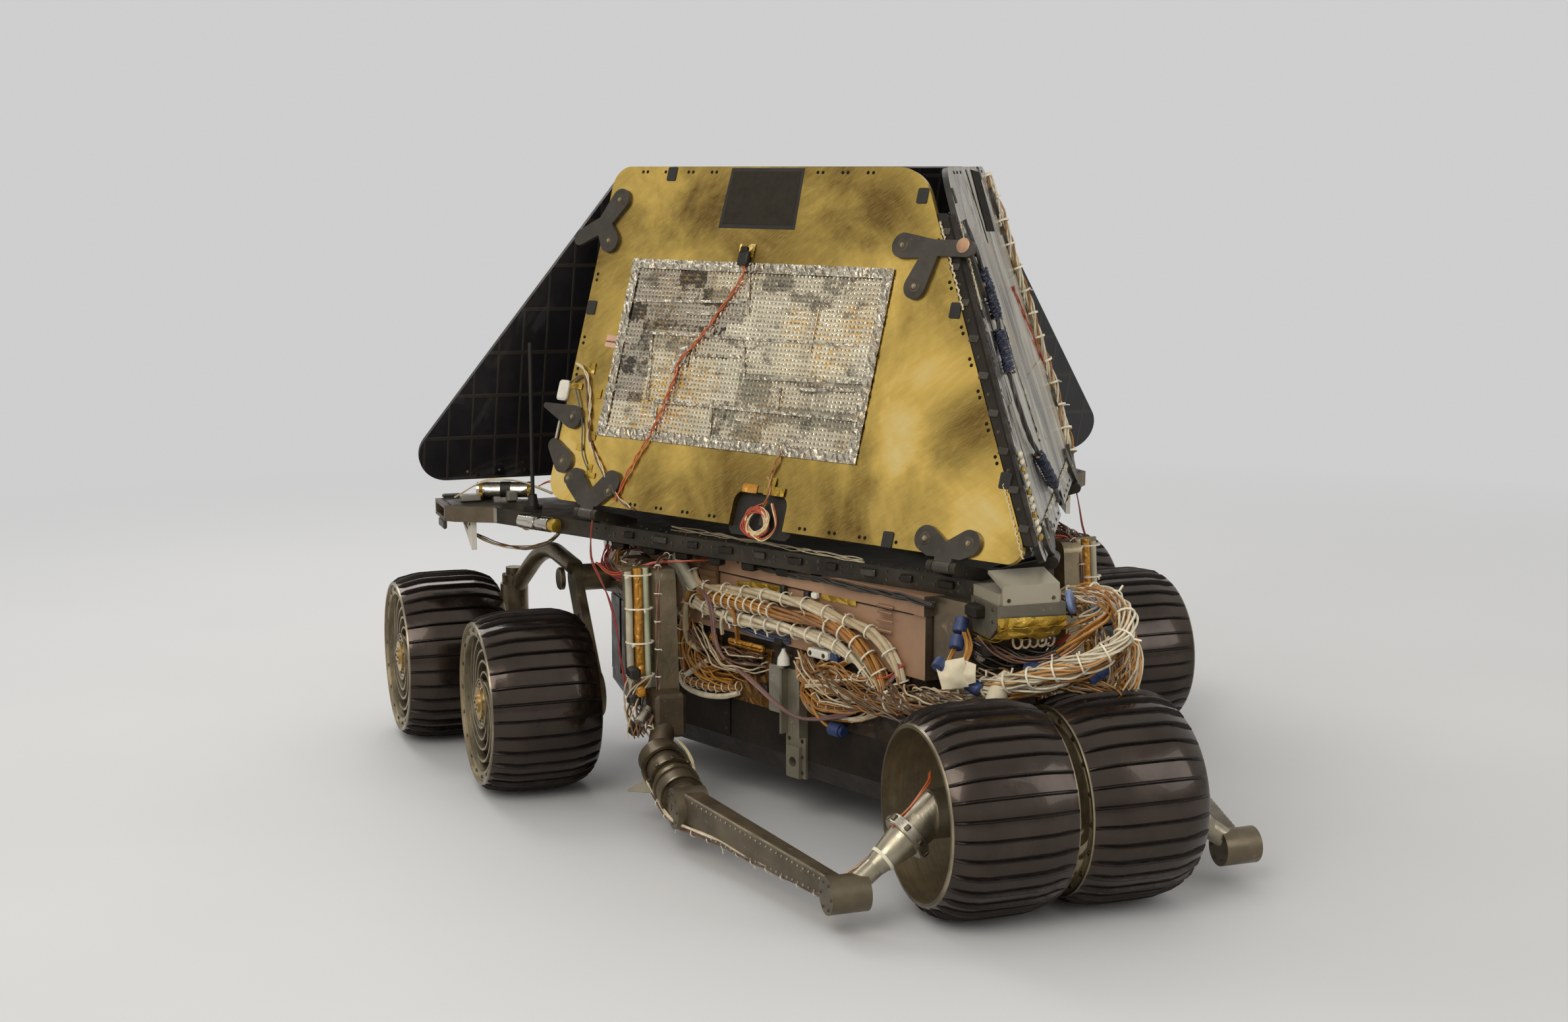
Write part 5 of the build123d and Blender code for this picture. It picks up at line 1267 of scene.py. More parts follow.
# Wiring on the body
WALL_RUNS = (               # name, finish, girth, wires, wire radius, wander, tie spacing, points on the wall
    ("top_white", "white wire", 6.2, 4, 3.5, 1.6, 40, ((-30, 322, 12), (-12, 306, 13), (25, 306, 14),
     (110, 311, 14), (206, 313, 14), (268, 306, 14), (325, 298, 14), (356, 286, 14), (378, 262, 12),
     (388, 238, 9))),
    ("top_film", "film wire", 7.2, 6, 2.9, 1.2, 0, ((-8, 296, 17), (32, 292, 18), (90, 295, 19),
     (163, 294, 19), (230, 294, 19), (285, 288, 18), (325, 271, 17), (350, 248, 14), (362, 226, 11))),
    ("top_film_laced", "orange wire", 9.0, 8, 1.5, 1.2, 15, ((20, 292, 18), (60, 294, 19), (100, 296, 20),
     (150, 295, 20))),
    ("bend_film_laced", "orange wire", 9.0, 8, 1.6, 1.2, 24, ((262, 292, 19), (296, 285, 18), (326, 270, 17),
     (350, 247, 14), (364, 222, 11))),
    ("low_white", "white wire", 7.2, 4, 3.6, 1.2, 26, ((-24, 281, 12), (20, 273, 13), (63, 271, 14),
     (130, 273, 15), (200, 273, 14), (258, 270, 14), (300, 258, 13), (326, 240, 10), (340, 222, 9))),
    ("under_blue", "blue wire", 5.0, 7, 1.5, 2.0, 0, ((46, 262, 8), (80, 257, 8), (125, 254, 8),
     (170, 255, 7))),
    ("left_film", "orange wire", 5.0, 6, 2.2, 1.2, 22, ((-26, 300, 18), (-40, 268, 17), (-54, 230, 15),
     (-52, 194, 13), (-48, 172, 12))),
    ("left_white", "white wire", 2.0, 2, 3.2, 1.0, 0, ((-36, 278, 20), (-38, 252, 20), (-34, 222, 17),
     (-12, 211, 12))),
    ("loop_white", "grey tube", 0.5, 1, 5.6, 0.0, 0, ((-60, 262, 12), (-80, 248, 14), (-98, 230, 14),
     (-96, 206, 12), (-78, 192, 8))),
    ("grey_tubes", "grey tube", 7.0, 3, 3.6, 3.0, 0, ((-84, 340, 10), (-82, 300, 9), (-80, 262, 9),
     (-84, 222, 7))),
    ("entry_tube", "old white", 0.5, 1, 8.5, 0.0, 0, ((-54, 346, 20), (-42, 330, 21), (-28, 312, 19),
     (-20, 300, 16))),
    ("entry_grey", "grey tube", 0.5, 1, 6.0, 0.0, 0, ((-70, 344, 12), (-60, 322, 13), (-46, 298, 12),
     (-40, 270, 10))),
    ("low_film", "orange wire", 4.6, 6, 2.0, 0.8, 13, ((-52, 172, 13), (-36, 163, 14), (-4, 162, 14),
     (34, 166, 13), (66, 172, 9))),
    ("low_loop", "white wire", 1.6, 2, 3.2, 0.5, 0, ((-58, 168, 14), (-48, 154, 15), (-10, 148, 15),
     (34, 152, 14), (66, 162, 9))),
    ("stub_white", "white", 0.4, 1, 4.4, 0.0, 0, ((4, 199, 13), (-20, 185, 14), (-46, 168, 14))),
    ("drop_orange", "orange wire", 2.2, 3, 2.4, 0.6, 20, ((62, 284, 22), (75, 278, 24), (74, 258, 20),
     (70, 238, 14))),
    ("drop_white", "white wire", 1.2, 2, 2.2, 0.6, 0, ((50, 280, 22), (44, 262, 22), (40, 244, 16))),
    ("fan_1", "mixed wire", 4.2, 8, 1.7, 2.4, 24, ((192, 234, 8), (198, 216, 14), (222, 208, 18),
     (269, 221, 18), (316, 230, 15), (360, 222, 9))),
    ("fan_2", "mixed wire", 3.8, 7, 1.6, 2.4, 22, ((241, 240, 8), (226, 218, 15), (252, 206, 20),
     (303, 208, 19), (353, 210, 10))),
    ("fan_3", "orange wire", 3.2, 5, 1.8, 1.6, 20, ((296, 252, 8), (270, 236, 13), (254, 218, 17))),
    ("fan_4", "mixed wire", 3.6, 6, 1.7, 2.0, 16, ((222, 206, 12), (232, 192, 16), (250, 182, 17),
     (292, 186, 15), (340, 196, 10))),
    ("fan_5", "white wire", 1.8, 3, 1.7, 1.2, 0, ((220, 203, 22), (244, 209, 24), (270, 212, 25),
     (306, 202, 24), (346, 206, 16))),
    ("fan_6", "mixed wire", 3.0, 6, 1.4, 2.6, 0, ((206, 236, 8), (214, 216, 15), (206, 190, 15),
     (220, 170, 14), (262, 166, 13), (318, 176, 12), (362, 196, 8))),
    ("purple", "purple wire", 2.4, 2, 2.2, 0.8, 0, ((2, 304, 26), (24, 294, 30), (31, 268, 28),
     (30, 240, 24), (44, 214, 22), (76, 202, 22), (112, 193, 26), (185, 162, 24), (234, 161, 20),
     (316, 188, 18), (372, 236, 13), (386, 262, 10))),
    ("tier_wires", "red wire", 1.6, 3, 1.0, 1.6, 0, ((336, 250, 16), (352, 238, 18), (372, 244, 14),
     (392, 262, 10))),
    ("plug", "orange wire", 2.0, 3, 1.5, 1.0, 0, ((222, 178, 14), (238, 166, 18), (252, 158, 18),
     (263, 153, 16))),
    ("tangle_1", "dirty wire", 14.0, 16, 1.2, 14.0, 0, ((-30, 236, 8), (10, 222, 14), (50, 206, 16),
     (90, 212, 14), (124, 222, 8))),
    ("tangle_2", "orange wire", 12.0, 12, 1.3, 12.0, 0, ((-46, 250, 10), (-36, 220, 14), (-24, 196, 16),
     (10, 178, 16), (60, 180, 10))),
    ("tangle_3", "dirty wire", 16.0, 22, 1.2, 16.0, 0, ((206, 236, 10), (250, 222, 18), (300, 214, 22),
     (350, 208, 18), (396, 206, 12))),
    ("tangle_4", "mixed wire", 12.0, 14, 1.2, 14.0, 0, ((212, 190, 10), (250, 184, 18), (300, 192, 20),
     (350, 200, 16), (396, 210, 12))),
    ("stray_1", "pale wire", 6.0, 6, 0.9, 7.0, 0, ((300, 262, 12), (330, 250, 18), (356, 222, 18),
     (340, 190, 16), (300, 170, 12))),
    ("stray_2", "brown wire", 6.0, 6, 1.0, 8.0, 0, ((-40, 240, 10), (-10, 226, 16), (24, 218, 16),
     (60, 222, 12), (96, 214, 8))),
    ("stray_3", "orange wire", 6.0, 8, 1.1, 9.0, 0, ((-40, 196, 10), (-16, 200, 16), (12, 190, 18),
     (40, 200, 14), (90, 190, 9))),
    ("stray_4", "mixed wire", 8.0, 10, 1.1, 10.0, 0, ((196, 244, 8), (230, 226, 16), (268, 238, 18),
     (310, 226, 16), (352, 240, 9))),
)


def wall_wiring(side_name):
    """The bundles, fans and loose wires on one front wall, in place of the plain tubes."""
    face = WALL[side_name]
    first = None
    for seed, (name, finish, girth, wires, radius, wander, spacing, points) in enumerate(WALL_RUNS):
        route = face.way(points)
        sides = 12 if wires == 1 else 8 if radius > 3 else 6
        made = bundle(f"{side_name}_wall_{name}", "root", finish, [(girth, route)], wires, radius, 0.0,
                      0.35 if wires > 1 else 0.0, wander, 5 if wires < 5 else 7, sides, seed + 1)
        first = first or made
        if spacing:
            ties(f"{side_name}_wall_{name}_ties", "root", [(girth + radius, route)], spacing, 1.04, 0.2, 0.6,
                 seed=seed)
    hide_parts(f"{side_name}_harness")


def wall_parts(side_name):
    """Tapes, clips, connectors and seams on one front wall."""
    face = WALL[side_name]
    axes = face.axes()
    piece = Build(f"{side_name}_wall_parts", "root")
    piece.plate("post", face, [(-14, 258), (22, 258), (22, 354), (-14, 354)], 7.9, 4)
    piece.plate("post", face, [(-14, 322), (22, 322), (22, 330), (-14, 330)], 11.8, 3)
    for seed, (x0, y0, x1, y1) in enumerate(((86, 316, 152, 326), (231, 322, 300, 333), (60, 316, 88, 322))):
        tape_on(piece, "yellow film", face, (x0, y0), (x1, y1), 4.6, 2.4, 120, seed, 6)
    for x, y, width, height in ((160, 322, 9, 17), (208, 321, 9, 17), (224, 326, 11, 8)):
        piece.block("black" if width < 10 else "white", face.at(x, y, 9), (width, height, 8), axes, 1.5)
    for y, width in ((332, 30), (324, 26), (313, 30), (300, 26)):
        piece.block("tier", face.at(358, y, 10), (width, 3.4, 4), axes)
    piece.block("white", face.at(239, 250, 12), (40, 12, 16), axes, 2)
    piece.block("blue", face.at(266, 247, 10), (14, 16, 12), axes, 2)
    piece.block("orange film", face.at(88, 236, 14), (74, 9, 9), axes, 3)
    piece.turned("white", face.at(166, 222, 14), (0, 0, 1), ((0, 9), (10, 8), (20, 2.5), (22, 2.5)), 16)
    for x, y, size in ((100, 205, 26), (118, 178, 20), (150, 250, 16), (58, 212, 18)):
        piece.block("rail", face.at(x, y, 6), (size, size * 0.7, 12), axes, 2)
    for x, y in ((-60, 206), (-30, 178), (10, 232)):
        piece.block("orange film", face.at(x, y, 8), (13, 11, 11), axes, 3)
    piece.turned("blue", face.at(262, 153, 16), face.along, ((0, 6), (2, 9), (22, 9), (22, 7), (27, 7)), 18)
    piece.block("grey", face.at(146, 184, 8), (30, 66, 5), axes)
    for finish, x0, y0, x1, y1 in (("amber film", 0, 150, 128, 238), ("brown film", 128, 150, 396, 238),
                                   ("amber film", 20, 232, 380, 250)):
        tape_on(piece, finish, face, (x0, y0), (x1, y1), 0.1, 2.2, 40, round(x0 + y0), 12)
    piece.plate("hull", face, [(0, 236), (398, 236), (398, 245), (0, 245)], 2.0, 2.2)
    piece.plate("rail", face, [(2, 327.4), (404, 327.4), (404, 329.6), (2, 329.6)], 4.05, 1.2, 0.3)
    for x in (30, 390):
        piece.plate("hull", face, [(x - 8, 96), (x + 8, 96), (x + 8, 236), (x - 8, 236)], 0.05, 2.0)
    piece.done()
    bolts = [(face.at(x, 349, 8.0), face.off, 1.8) for x in range(34, 400, 30)]
    bolts += [(face.at(x, 240, 2.2), face.off, 1.7) for x in range(14, 400, 28)]
    bolts += [(face.at(x, y, 2.0), face.off, 1.6) for x in (30, 390) for y in range(104, 236, 22)]
    bolts += [(face.at(x, y, 12.0), face.off, 1.8) for x in (-8, 16) for y in (266, 296, 345)]
    bolts += [(face.at(x, 250, 20), face.off, 2.2) for x in (226, 252)]
    bolts += [(face.at(180 + dx, y, 4.1), face.off, 2.0) for dx in (-13, 13) for y in (74, 96, 118)]
    studs(f"{side_name}_wall_bolts", "root", "dark steel", bolts)


class ROVER_OT_wall_wiring(bpy.types.Operator):
    """Lays the wires on both front walls, with their ties, clips and connectors"""

    bl_idname = "rover.wall_wiring"
    bl_label = "Wire the Walls"

    def execute(self, context):
        for side_name, side in SIDES:
            wall_wiring(side_name)
            wall_parts(side_name)
        return {"FINISHED"}


# Wiring round the nose, in millimetres of the rover's own frame
NOSE_ROUTE = ((302, -112, 212), (380, -76, 230), (440, -40, 258), (500, 10, 284), (528, 60, 306),
              (530, 98, 330), (500, 112, 356), (462, 104, 368), (430, 84, 364), (411, 56, 346))
NOSE_RUNS = (               # name, finish, girth, wires, wire radius, wander, points
    ("main", "nose wire", 11, 20, 1.5, 9, NOSE_ROUTE),
    ("inner", "mixed wire", 9, 14, 1.6, 7, ((330, -96, 206), (392, -66, 226), (450, -26, 252),
     (500, 30, 276), (516, 78, 300), (504, 100, 320))),
    ("spray_top", "nose wire", 8, 16, 1.3, 8, ((452, 62, 326), (474, 82, 344), (486, 92, 358),
     (476, 90, 366))),
    ("spray_side", "nose wire", 10, 18, 1.2, 12, ((488, 60, 286), (508, 92, 306), (522, 112, 318),
     (520, 118, 286), (514, 118, 262))),
    ("spray_low", "mixed wire", 9, 12, 1.3, 11, ((462, 18, 262), (492, 60, 264), (510, 96, 258),
     (512, 110, 244))),
    ("orange_bars", "orange wire", 6, 5, 2.2, 3, ((476, 40, 300), (492, 70, 330), (498, 92, 352),
     (478, 96, 372))),
    ("under_1", "orange wire", 4, 6, 1.5, 3, ((412, -62, 330), (428, -60, 306), (440, -72, 288))),
    ("under_2", "brown wire", 5, 8, 1.3, 6, ((418, -44, 318), (436, -20, 296), (452, 10, 288),
     (470, 40, 300))),
    ("under_3", "red wire", 3, 3, 1.1, 4, ((414, 40, 318), (440, 54, 306), (462, 60, 322))),
    ("under_4", "mixed wire", 6, 9, 1.3, 6, ((404, -58, 250), (436, -34, 240), (466, 0, 252),
     (486, 30, 268))),
    ("grey_box_1", "orange wire", 2.4, 4, 1.3, 1.5, ((404, -62, 318), (416, -74, 304), (428, -88, 290))),
    ("tangle_right", "dirty wire", 18, 26, 1.2, 18, ((306, -118, 226), (350, -102, 222), (392, -84, 232),
     (430, -62, 240))),
    ("tangle_low", "dirty wire", 14, 20, 1.2, 16, ((400, -50, 262), (440, -20, 262), (478, 24, 268),
     (502, 64, 284))),
    ("tangle_back", "black wire", 14, 14, 1.4, 12, ((404, -50, 300), (424, -20, 292), (440, 20, 290),
     (432, 60, 300))),
    ("tangle_left", "dirty wire", 13, 18, 1.3, 14, ((412, 66, 352), (446, 82, 348), (484, 84, 330),
     (508, 88, 300), (506, 100, 270))),
    ("frays", "mixed wire", 13, 20, 0.8, 15, ((470, 66, 372), (494, 88, 372), (508, 106, 346),
     (520, 108, 312), (516, 96, 276))),
)


def point(x, y, z):
    return Vector((x, y, z)) * MM


def lay_wires(prefix, rows, place, twist, step, seed, tied):
    """Lays a table's runs on the body, each point put in its place by a function, and ties round some."""
    pieces = []
    for number, (name, finish, girth, wires, radius, wander, points) in enumerate(rows):
        route = [place(*p) for p in points]
        pieces.append(bundle(f"{prefix}_{name}", "root", finish, [(girth, route)], wires, radius, 0.0, twist,
                             wander, step, 6, seed + number))
        if name in tied:
            ties(tied[name], "root", [(girth + radius, route)], 34, 1.1, 0.3, 1.0, seed=number)
    return pieces


def sleeve(piece, finish, start, end, radius):
    """A short tape wrap round a bundle, with softened rims."""
    start, end = Vector(start) * MM, Vector(end) * MM
    length = (end - start).length / MM
    profile = ((0, radius * 0.86), (1, radius), (length * 0.48, radius * 0.97),
               (length * 0.5, radius * 1.05), (length - 1, radius), (length, radius * 0.86))
    piece.turned(finish, start, end - start, profile, 18)


SLEEVES = (                 # finish, start, end, radius
    ("blue", (404, -58, 338), (412, -66, 322), 9), ("blue", (412, -68, 318), (420, -74, 304), 9),
    ("blue", (424, -94, 292), (430, -104, 284), 8), ("blue", (430, -62, 262), (446, -52, 256), 9),
    ("blue", (456, 4, 280), (470, 14, 284), 8), ("blue", (500, 66, 276), (508, 84, 292), 13),
    ("pale blue", (455, 60, 360), (459, 66, 362), 15), ("pale blue", (472, 84, 362), (476, 90, 364), 13),
    ("pale blue", (496, 104, 352), (498, 110, 354), 9), ("blue", (424, 52, 338), (440, 58, 346), 9),
)
NOSE_FILMS = (              # finish, corners, facing, wrinkle, grain, cells, thickness, seed, sag
    ("paper", ((424, -104, 290), (440, -72, 298), (446, -68, 262), (434, -98, 258)), (1, -0.4, 0.2), 5, 34,
     (10, 10), 0.8, 2, 5),
    ("paper", ((436, -74, 296), (450, -60, 290), (450, -60, 268), (444, -70, 264)), (0.8, -0.7, 0), 4, 40,
     (6, 8), 0.8, 3, 2),
    ("yellow film", ((403, -45, 321), (457, -45, 321), (457, 45, 321), (403, 45, 321)), (0, 0, -1), 4, 60,
     (14, 20), 0.5, 5, 3),
    ("yellow film", ((458, -45, 322), (479, -45, 341), (479, 45, 341), (458, 45, 322)),
     (0.7, 0, -0.7), 4, 60, (8, 24), 0.5, 6, 3),
    ("yellow film", ((476, -46, 336), (479, -46, 352), (479, 46, 350), (476, 46, 336)), (1, 0, 0), 2.5, 90,
     (5, 24), 0.5, 7, 1),
)


class ROVER_OT_nose(bpy.types.Operator):
    """Makes the nose's wires, wraps, tags and films, and the sheet under the camera box"""

    bl_idname = "rover.nose"
    bl_label = "Dress the Nose"

    def execute(self, context):
        first = lay_wires("nose_wires", NOSE_RUNS, point, 0.5, 6, 31, {})[0]
        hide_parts("nose_harness")
        route = [point(*p) for p in NOSE_ROUTE]
        ties("nose_wire_ties", "root", [(13, route)], 32, 1.0, 0.16, 0.8, seed=5)
        loops = []
        for k in range(5):
            turns = [point(452 + 3 * sin(a * 1.3), -6 + k * 11 + 5 * cos(a), 317 + 11 * sin(a))
                     for a in [2 * pi * i / 12 for i in range(13)]]
            loops.append((0.1, turns))
        bundle("nose_wire_loops", "root", "white wire", loops, 1, 1.5, step=3)
        piece = Build("nose_parts", "root")
        for finish, start, end, radius in SLEEVES:
            sleeve(piece, finish, start, end, radius)
        piece.turned("paper", point(452, -16, 276), Vector((2, -30, -44)),
                     ((0, 8), (8, 11), (30, 13), (44, 9), (46, 6)), 18)
        for finish, corners, off, wrinkle, grain, cells, thick, seed, sag in NOSE_FILMS:
            piece.film(finish, [point(*p) for p in corners], off, wrinkle, grain, cells, thick, seed, sag)
        piece.block("rail", point(428, -50, 352), (30, 22, 16), bevel=3)
        piece.block("rail", point(418, 56, 352), (26, 22, 18), bevel=3)
        for y in (-40, -22, 24, 42):
            piece.turned("steel", point(402, y, 292), (1, 0, 0),
                         ((0, 7), (4, 7), (4, 5.5), (16, 5.5), (16, 6.5), (20, 6.5)), 18)
        for seed, (x, y, z) in enumerate(((418, -30, 300), (430, 20, 282), (404, -12, 276))):
            piece.block("black", point(x, y, z), (26, 24, 18), bevel=3)
        corners = [point(508, 100, 272), point(516, 118, 276), point(516, 118, 252), point(508, 106, 250)]
        piece.film("orange film", corners, (1, 0.3, 0), 3, 80, (6, 6), 0.5, 9, 1)
        piece.done()
        bolts = [(point(476.2, y, 372), Vector((1, 0, 0)), 1.8) for y in (-30, 30)]
        bolts += [(point(x, side * 46.2, z), Vector((0, side, 0)), 1.6) for side in (-1, 1)
                  for x in (415, 440, 465) for z in (345, 360)]
        bolts += [(point(403, y, z), Vector((1, 0, 0)), 2.0) for y in (-46, 0, 46) for z in (270, 312)]
        studs("nose_bolts", "root", "dark steel", bolts)
        return {"FINISHED"}


# Legs, in millimetres on the left side
ARM_START, ARM_MIDDLE = Vector((38, 345, 92)), Vector((178, 345, 60))
KNEE, WHEEL_END = Vector((533, 262, 50)), Vector((517, 138, 138))
STRAPS = (                  # name, finish, radius, points
    ("green", "green white", 4.6, ((-50, 336, 338), (-45, 337, 300), (-40, 337, 240), (-36, 337, 186),
     (-30, 336, 164))),
    ("orange", "orange film", 6.6, ((-49, 348, 338), (-44, 348, 300), (-39, 349, 240), (-35, 348, 180),
     (-26, 346, 158))),
    ("white", "old white", 5.2, ((-50, 361, 334), (-45, 361, 290), (-40, 362, 236), (-36, 361, 182),
     (-30, 359, 168))),
)
LEG_RUNS = (                # name, finish, girth, wires, wire radius, wander, points
    ("red", "deep red wire", 1.2, 2, 0.95, 1.6, ((-150, 384, 396), (-147, 388, 372), (-138, 390, 340),
     (-112, 386, 318), (-84, 380, 292), (-62, 376, 256), (-46, 374, 214), (-34, 370, 174))),
    ("red_back", "red wire", 2.2, 3, 1.0, 3, ((-30, 236, 346), (-46, 270, 344), (-70, 320, 340),
     (-100, 366, 322), (-150, 380, 330))),
    ("under_deck_1", "dirty wire", 11, 12, 1.1, 11, ((-180, 322, 348), (-150, 346, 338), (-110, 354, 332),
     (-70, 340, 338))),
    ("under_deck_2", "deep red wire", 5, 6, 1.0, 7, ((-176, 352, 348), (-140, 370, 330), (-100, 364, 318),
     (-60, 344, 326))),
    ("elbow_tangle", "dirty wire", 16, 16, 1.1, 14, ((-24, 350, 190), (-16, 362, 168), (-4, 366, 142),
     (14, 362, 116))),
    ("post_brown", "brown wire", 3, 4, 1.2, 2, ((-66, 300, 350), (-44, 318, 346), (-24, 326, 320),
     (-18, 328, 260), (-16, 328, 200), (-6, 332, 160), (20, 352, 128))),
    ("arm", "brown wire", 4, 7, 1.7, 1.0, ((40, 356, 58), (100, 364, 48), (170, 358, 36), (260, 330, 36),
     (360, 306, 36), (450, 284, 36), (510, 266, 34))),
    ("arm_white", "white wire", 1.4, 2, 1.6, 1.0, ((52, 368, 70), (110, 372, 60), (176, 366, 44),
     (262, 340, 44), (362, 314, 42), (452, 290, 42))),
    ("knee", "orange wire", 2.4, 4, 1.2, 1.5, ((508, 258, 60), (516, 226, 84), (510, 196, 108),
     (505, 168, 124), (500, 150, 128))),
    ("mouth", "red orange wire", 1.8, 3, 1.2, 2.0, ((524, 200, 122), (530, 176, 150), (520, 152, 172),
     (500, 142, 176), (488, 136, 160))),
    ("actuator", "pale wire", 1.6, 3, 1.2, 2.0, ((30, 316, 110), (60, 312, 104), (100, 314, 96),
     (130, 322, 92))),
)


def leg_wires(side_name, side):
    """The straps on the post, the bundle under the arm and the wires inside the front wheel's mouth."""
    half = Half(side)
    for name, finish, radius, points in STRAPS:
        route = [half.at(*p) for p in points]
        bundle(f"{side_name}_post_strap_{name}", "root", finish, [(0.3, route)], 1, radius, step=8, sides=10)
    post = [half.at(*p) for p in ((-44, 348, 330), (-36, 349, 250), (-34, 349, 190))]
    ties(f"{side_name}_post_ties", "root", [(19, post)], 46, 1.0, 0.1, 0.3, seed=3)
    tied = {name: f"{side_name}_{name}_ties" for name in ("arm", "post_brown")}
    lay_wires(f"{side_name}_leg_wires", LEG_RUNS, half.at, 0.6, 8, 71, tied)


def clamp_screws(piece, start, axis, along, radius, size):
    """Eight square heads round a clamp."""
    side_way, other = frame_of(axis)
    for number in range(8):
        out = side_way * cos(number * pi / 4) + other * sin(number * pi / 4)
        centre = start + axis * along * MM + out * radius * MM
        piece.block("dark steel", centre, size, (axis, axis.cross(out), out), 1)


def leg_parts(side_name, side):
    """Clamp rings, bolts, tapes and brackets of one side's legs."""
    half = Half(side)
    way = half.way(*(ARM_MIDDLE - ARM_START).normalized())
    strut = half.way(*(WHEEL_END - KNEE).normalized())
    origin, foot = half.at(*ARM_START), half.at(*KNEE)
    piece = Build(f"{side_name}_leg_parts", "root")
    for along, radius, width in ((30, 33, 5), (60, 31, 8), (84, 32.5, 7), (112, 31.5, 4)):
        piece.ring("titanium", origin, way, along, along + width, radius - 4, radius, 40)
    clamp_screws(piece, origin, way, 64, 31.5, (7, 6, 4))
    piece.block("orange film", half.at(188, 322, 64), (12, 1.5, 12), bevel=0.5)
    wedge_out = half.way(*Vector((-0.35, 0.62, -0.70)).normalized())
    wedge = Face(origin, way, wedge_out, way.cross(wedge_out))
    piece.plate("apron", wedge, [(26, 27), (66, 29), (60, 34), (14, 66), (10, 64)], -1, 2, 0.4)
    side_way = half.way(*Vector((0.75, 0.65, 0)).cross(strut).normalized())
    aside = strut.cross(side_way)
    ends = ((70, -0.5, 19.6), (90, -0.5, 24.0), (90, 0.5, 24.0), (70, 0.5, 19.6))
    corners = [foot + strut * along * MM + (side_way * cos(turn) + aside * sin(turn)) * radius * MM
               for along, turn, radius in ends]
    piece.film("yellow film", corners, side_way, 1.0, 90, (6, 6), 0.4, 3, 2.4)
    piece.turned("tie", foot, strut, ((58, 15.6), (58, 16.8), (62, 17.6), (62, 16.2)), 24, closed=True)
    piece.ring("steel", foot, strut, 95, 107, 27, 30.6, 32)
    clamp_screws(piece, foot, strut, 101, 30.5, (8, 6, 5))
    for z in (120, 162, 200):
        piece.block("black", half.at(-8, 366, z), (22, 16, 16), bevel=3)
    piece.block("orange film", half.at(8, 360, 176), (14, 12, 14), bevel=3)
    piece.turned("steel", half.at(2, 350, 150), half.way(0.5, 0.6, -0.6),
                 ((0, 9), (6, 9), (6, 7), (20, 7), (20, 8), (26, 8)), 20)
    piece.turned("titanium", half.at(-302, 400, 280), half.way(0, -1, 0), ((0, 15), (2, 17), (8, 17)), 28)
    piece.done()
    outwards, inwards = half.way(0, 1, 0), half.way(0, -1, 0)
    bolts = []
    for centre, facing, radius, count, size in (
            ((-200, 331, 300), outwards, 20, 10, 2.4), ((-302, 331, 280), outwards, 17, 6, 1.8),
            ((-182, 368.1, 130), inwards, 24, 8, 2.4), ((-517, 425, 130), inwards, 24, 8, 2.4),
            ((-517, 420, 250), Vector((0, 0, 1)), 16, 6, 1.8)):
        bolts += ring_places(half.at(*centre), facing, radius, count, size)
    bolts += ring_places(origin + way * 30.2 * MM, way, 28, 8, 1.8)
    bolts += ring_places(foot + strut * 108.2 * MM, strut, 26, 6, 1.6)
    for sign in (-1, 1):
        bolts += ring_places(half.at(178, 345 + sign * 22.1, 60), half.way(0, sign, 0), 20, 8, 1.8)
        bolts += ring_places(half.at(533, 262 + sign * 25.1, 50), half.way(0, sign, 0), 17, 6, 1.8)
    studs(f"{side_name}_leg_bolts", "root", "dark steel", bolts, 6, 0.7, 1.45)


def arm_rivets(side_name, side):
    """Two rows of rivets on each side of the tapered front arm."""
    half = Half(side)
    rivets = []
    arm = KNEE - ARM_MIDDLE
    out = arm.cross(Vector((0, 0, 1))).normalized()
    for number in range(26):
        share = 0.10 + 0.8 * number / 25
        width, height = 16.3 - 4 * share, 19 - 11 * share
        for sign in (-1, 1):
            for up in (-1, 1):
                spot = ARM_MIDDLE + arm * share + out * sign * width + Vector((0, 0, up * height))
                rivets.append((half.at(*spot), half.way(*(out * sign)), 1.3))
    studs(f"{side_name}_arm_rivets", "root", "steel", rivets, 8, 0.45, 1.3, 0.15)


class ROVER_OT_legs(bpy.types.Operator):
    """Adds the legs' straps, wires, clamp rings, bolts and rivets"""

    bl_idname = "rover.legs"
    bl_label = "Dress the Legs"

    def execute(self, context):
        for side_name, side in SIDES:
            leg_wires(side_name, side)
            leg_parts(side_name, side)
            arm_rivets(side_name, side)
        return {"FINISHED"}


# Deck and body fittings
DECK_RUNS = (               # name, finish, girth, wires, wire radius, wander, points on the left side
    ("ear_grey", "pale wire", 1.5, 3, 0.9, 3, ((-470, 520, 384), (-450, 480, 410), (-430, 430, 412),
     (-410, 380, 392))),
    ("ear_red", "red wire", 1.2, 2, 0.9, 2, ((-440, 400, 398), (-420, 380, 410), (-400, 352, 400),
     (-388, 330, 386))),
    ("under_ear", "brown wire", 5, 8, 1.2, 8, ((-470, 400, 350), (-440, 360, 330), (-410, 330, 340),
     (-380, 300, 346))),
    ("ear_loop", "dirty wire", 3, 4, 1.0, 4, ((-452, 512, 372), (-440, 506, 340), (-420, 470, 318),
     (-380, 430, 316), (-350, 400, 330), (-340, 380, 350))),
    ("under_deck", "brown wire", 6, 9, 1.4, 6, ((-330, 300, 346), (-230, 306, 340), (-150, 292, 344),
     (-90, 262, 346), (-40, 240, 344))),
    ("under_front", "black wire", 4, 6, 1.3, 4, ((30, 214, 350), (120, 178, 349), (220, 138, 350),
     (310, 102, 350), (360, 78, 348))),
    ("edge_thin", "pale wire", 3, 4, 0.7, 5, ((-96, 282, 385), (-10, 240, 384), (80, 196, 385),
     (170, 152, 384), (230, 120, 384))),
)
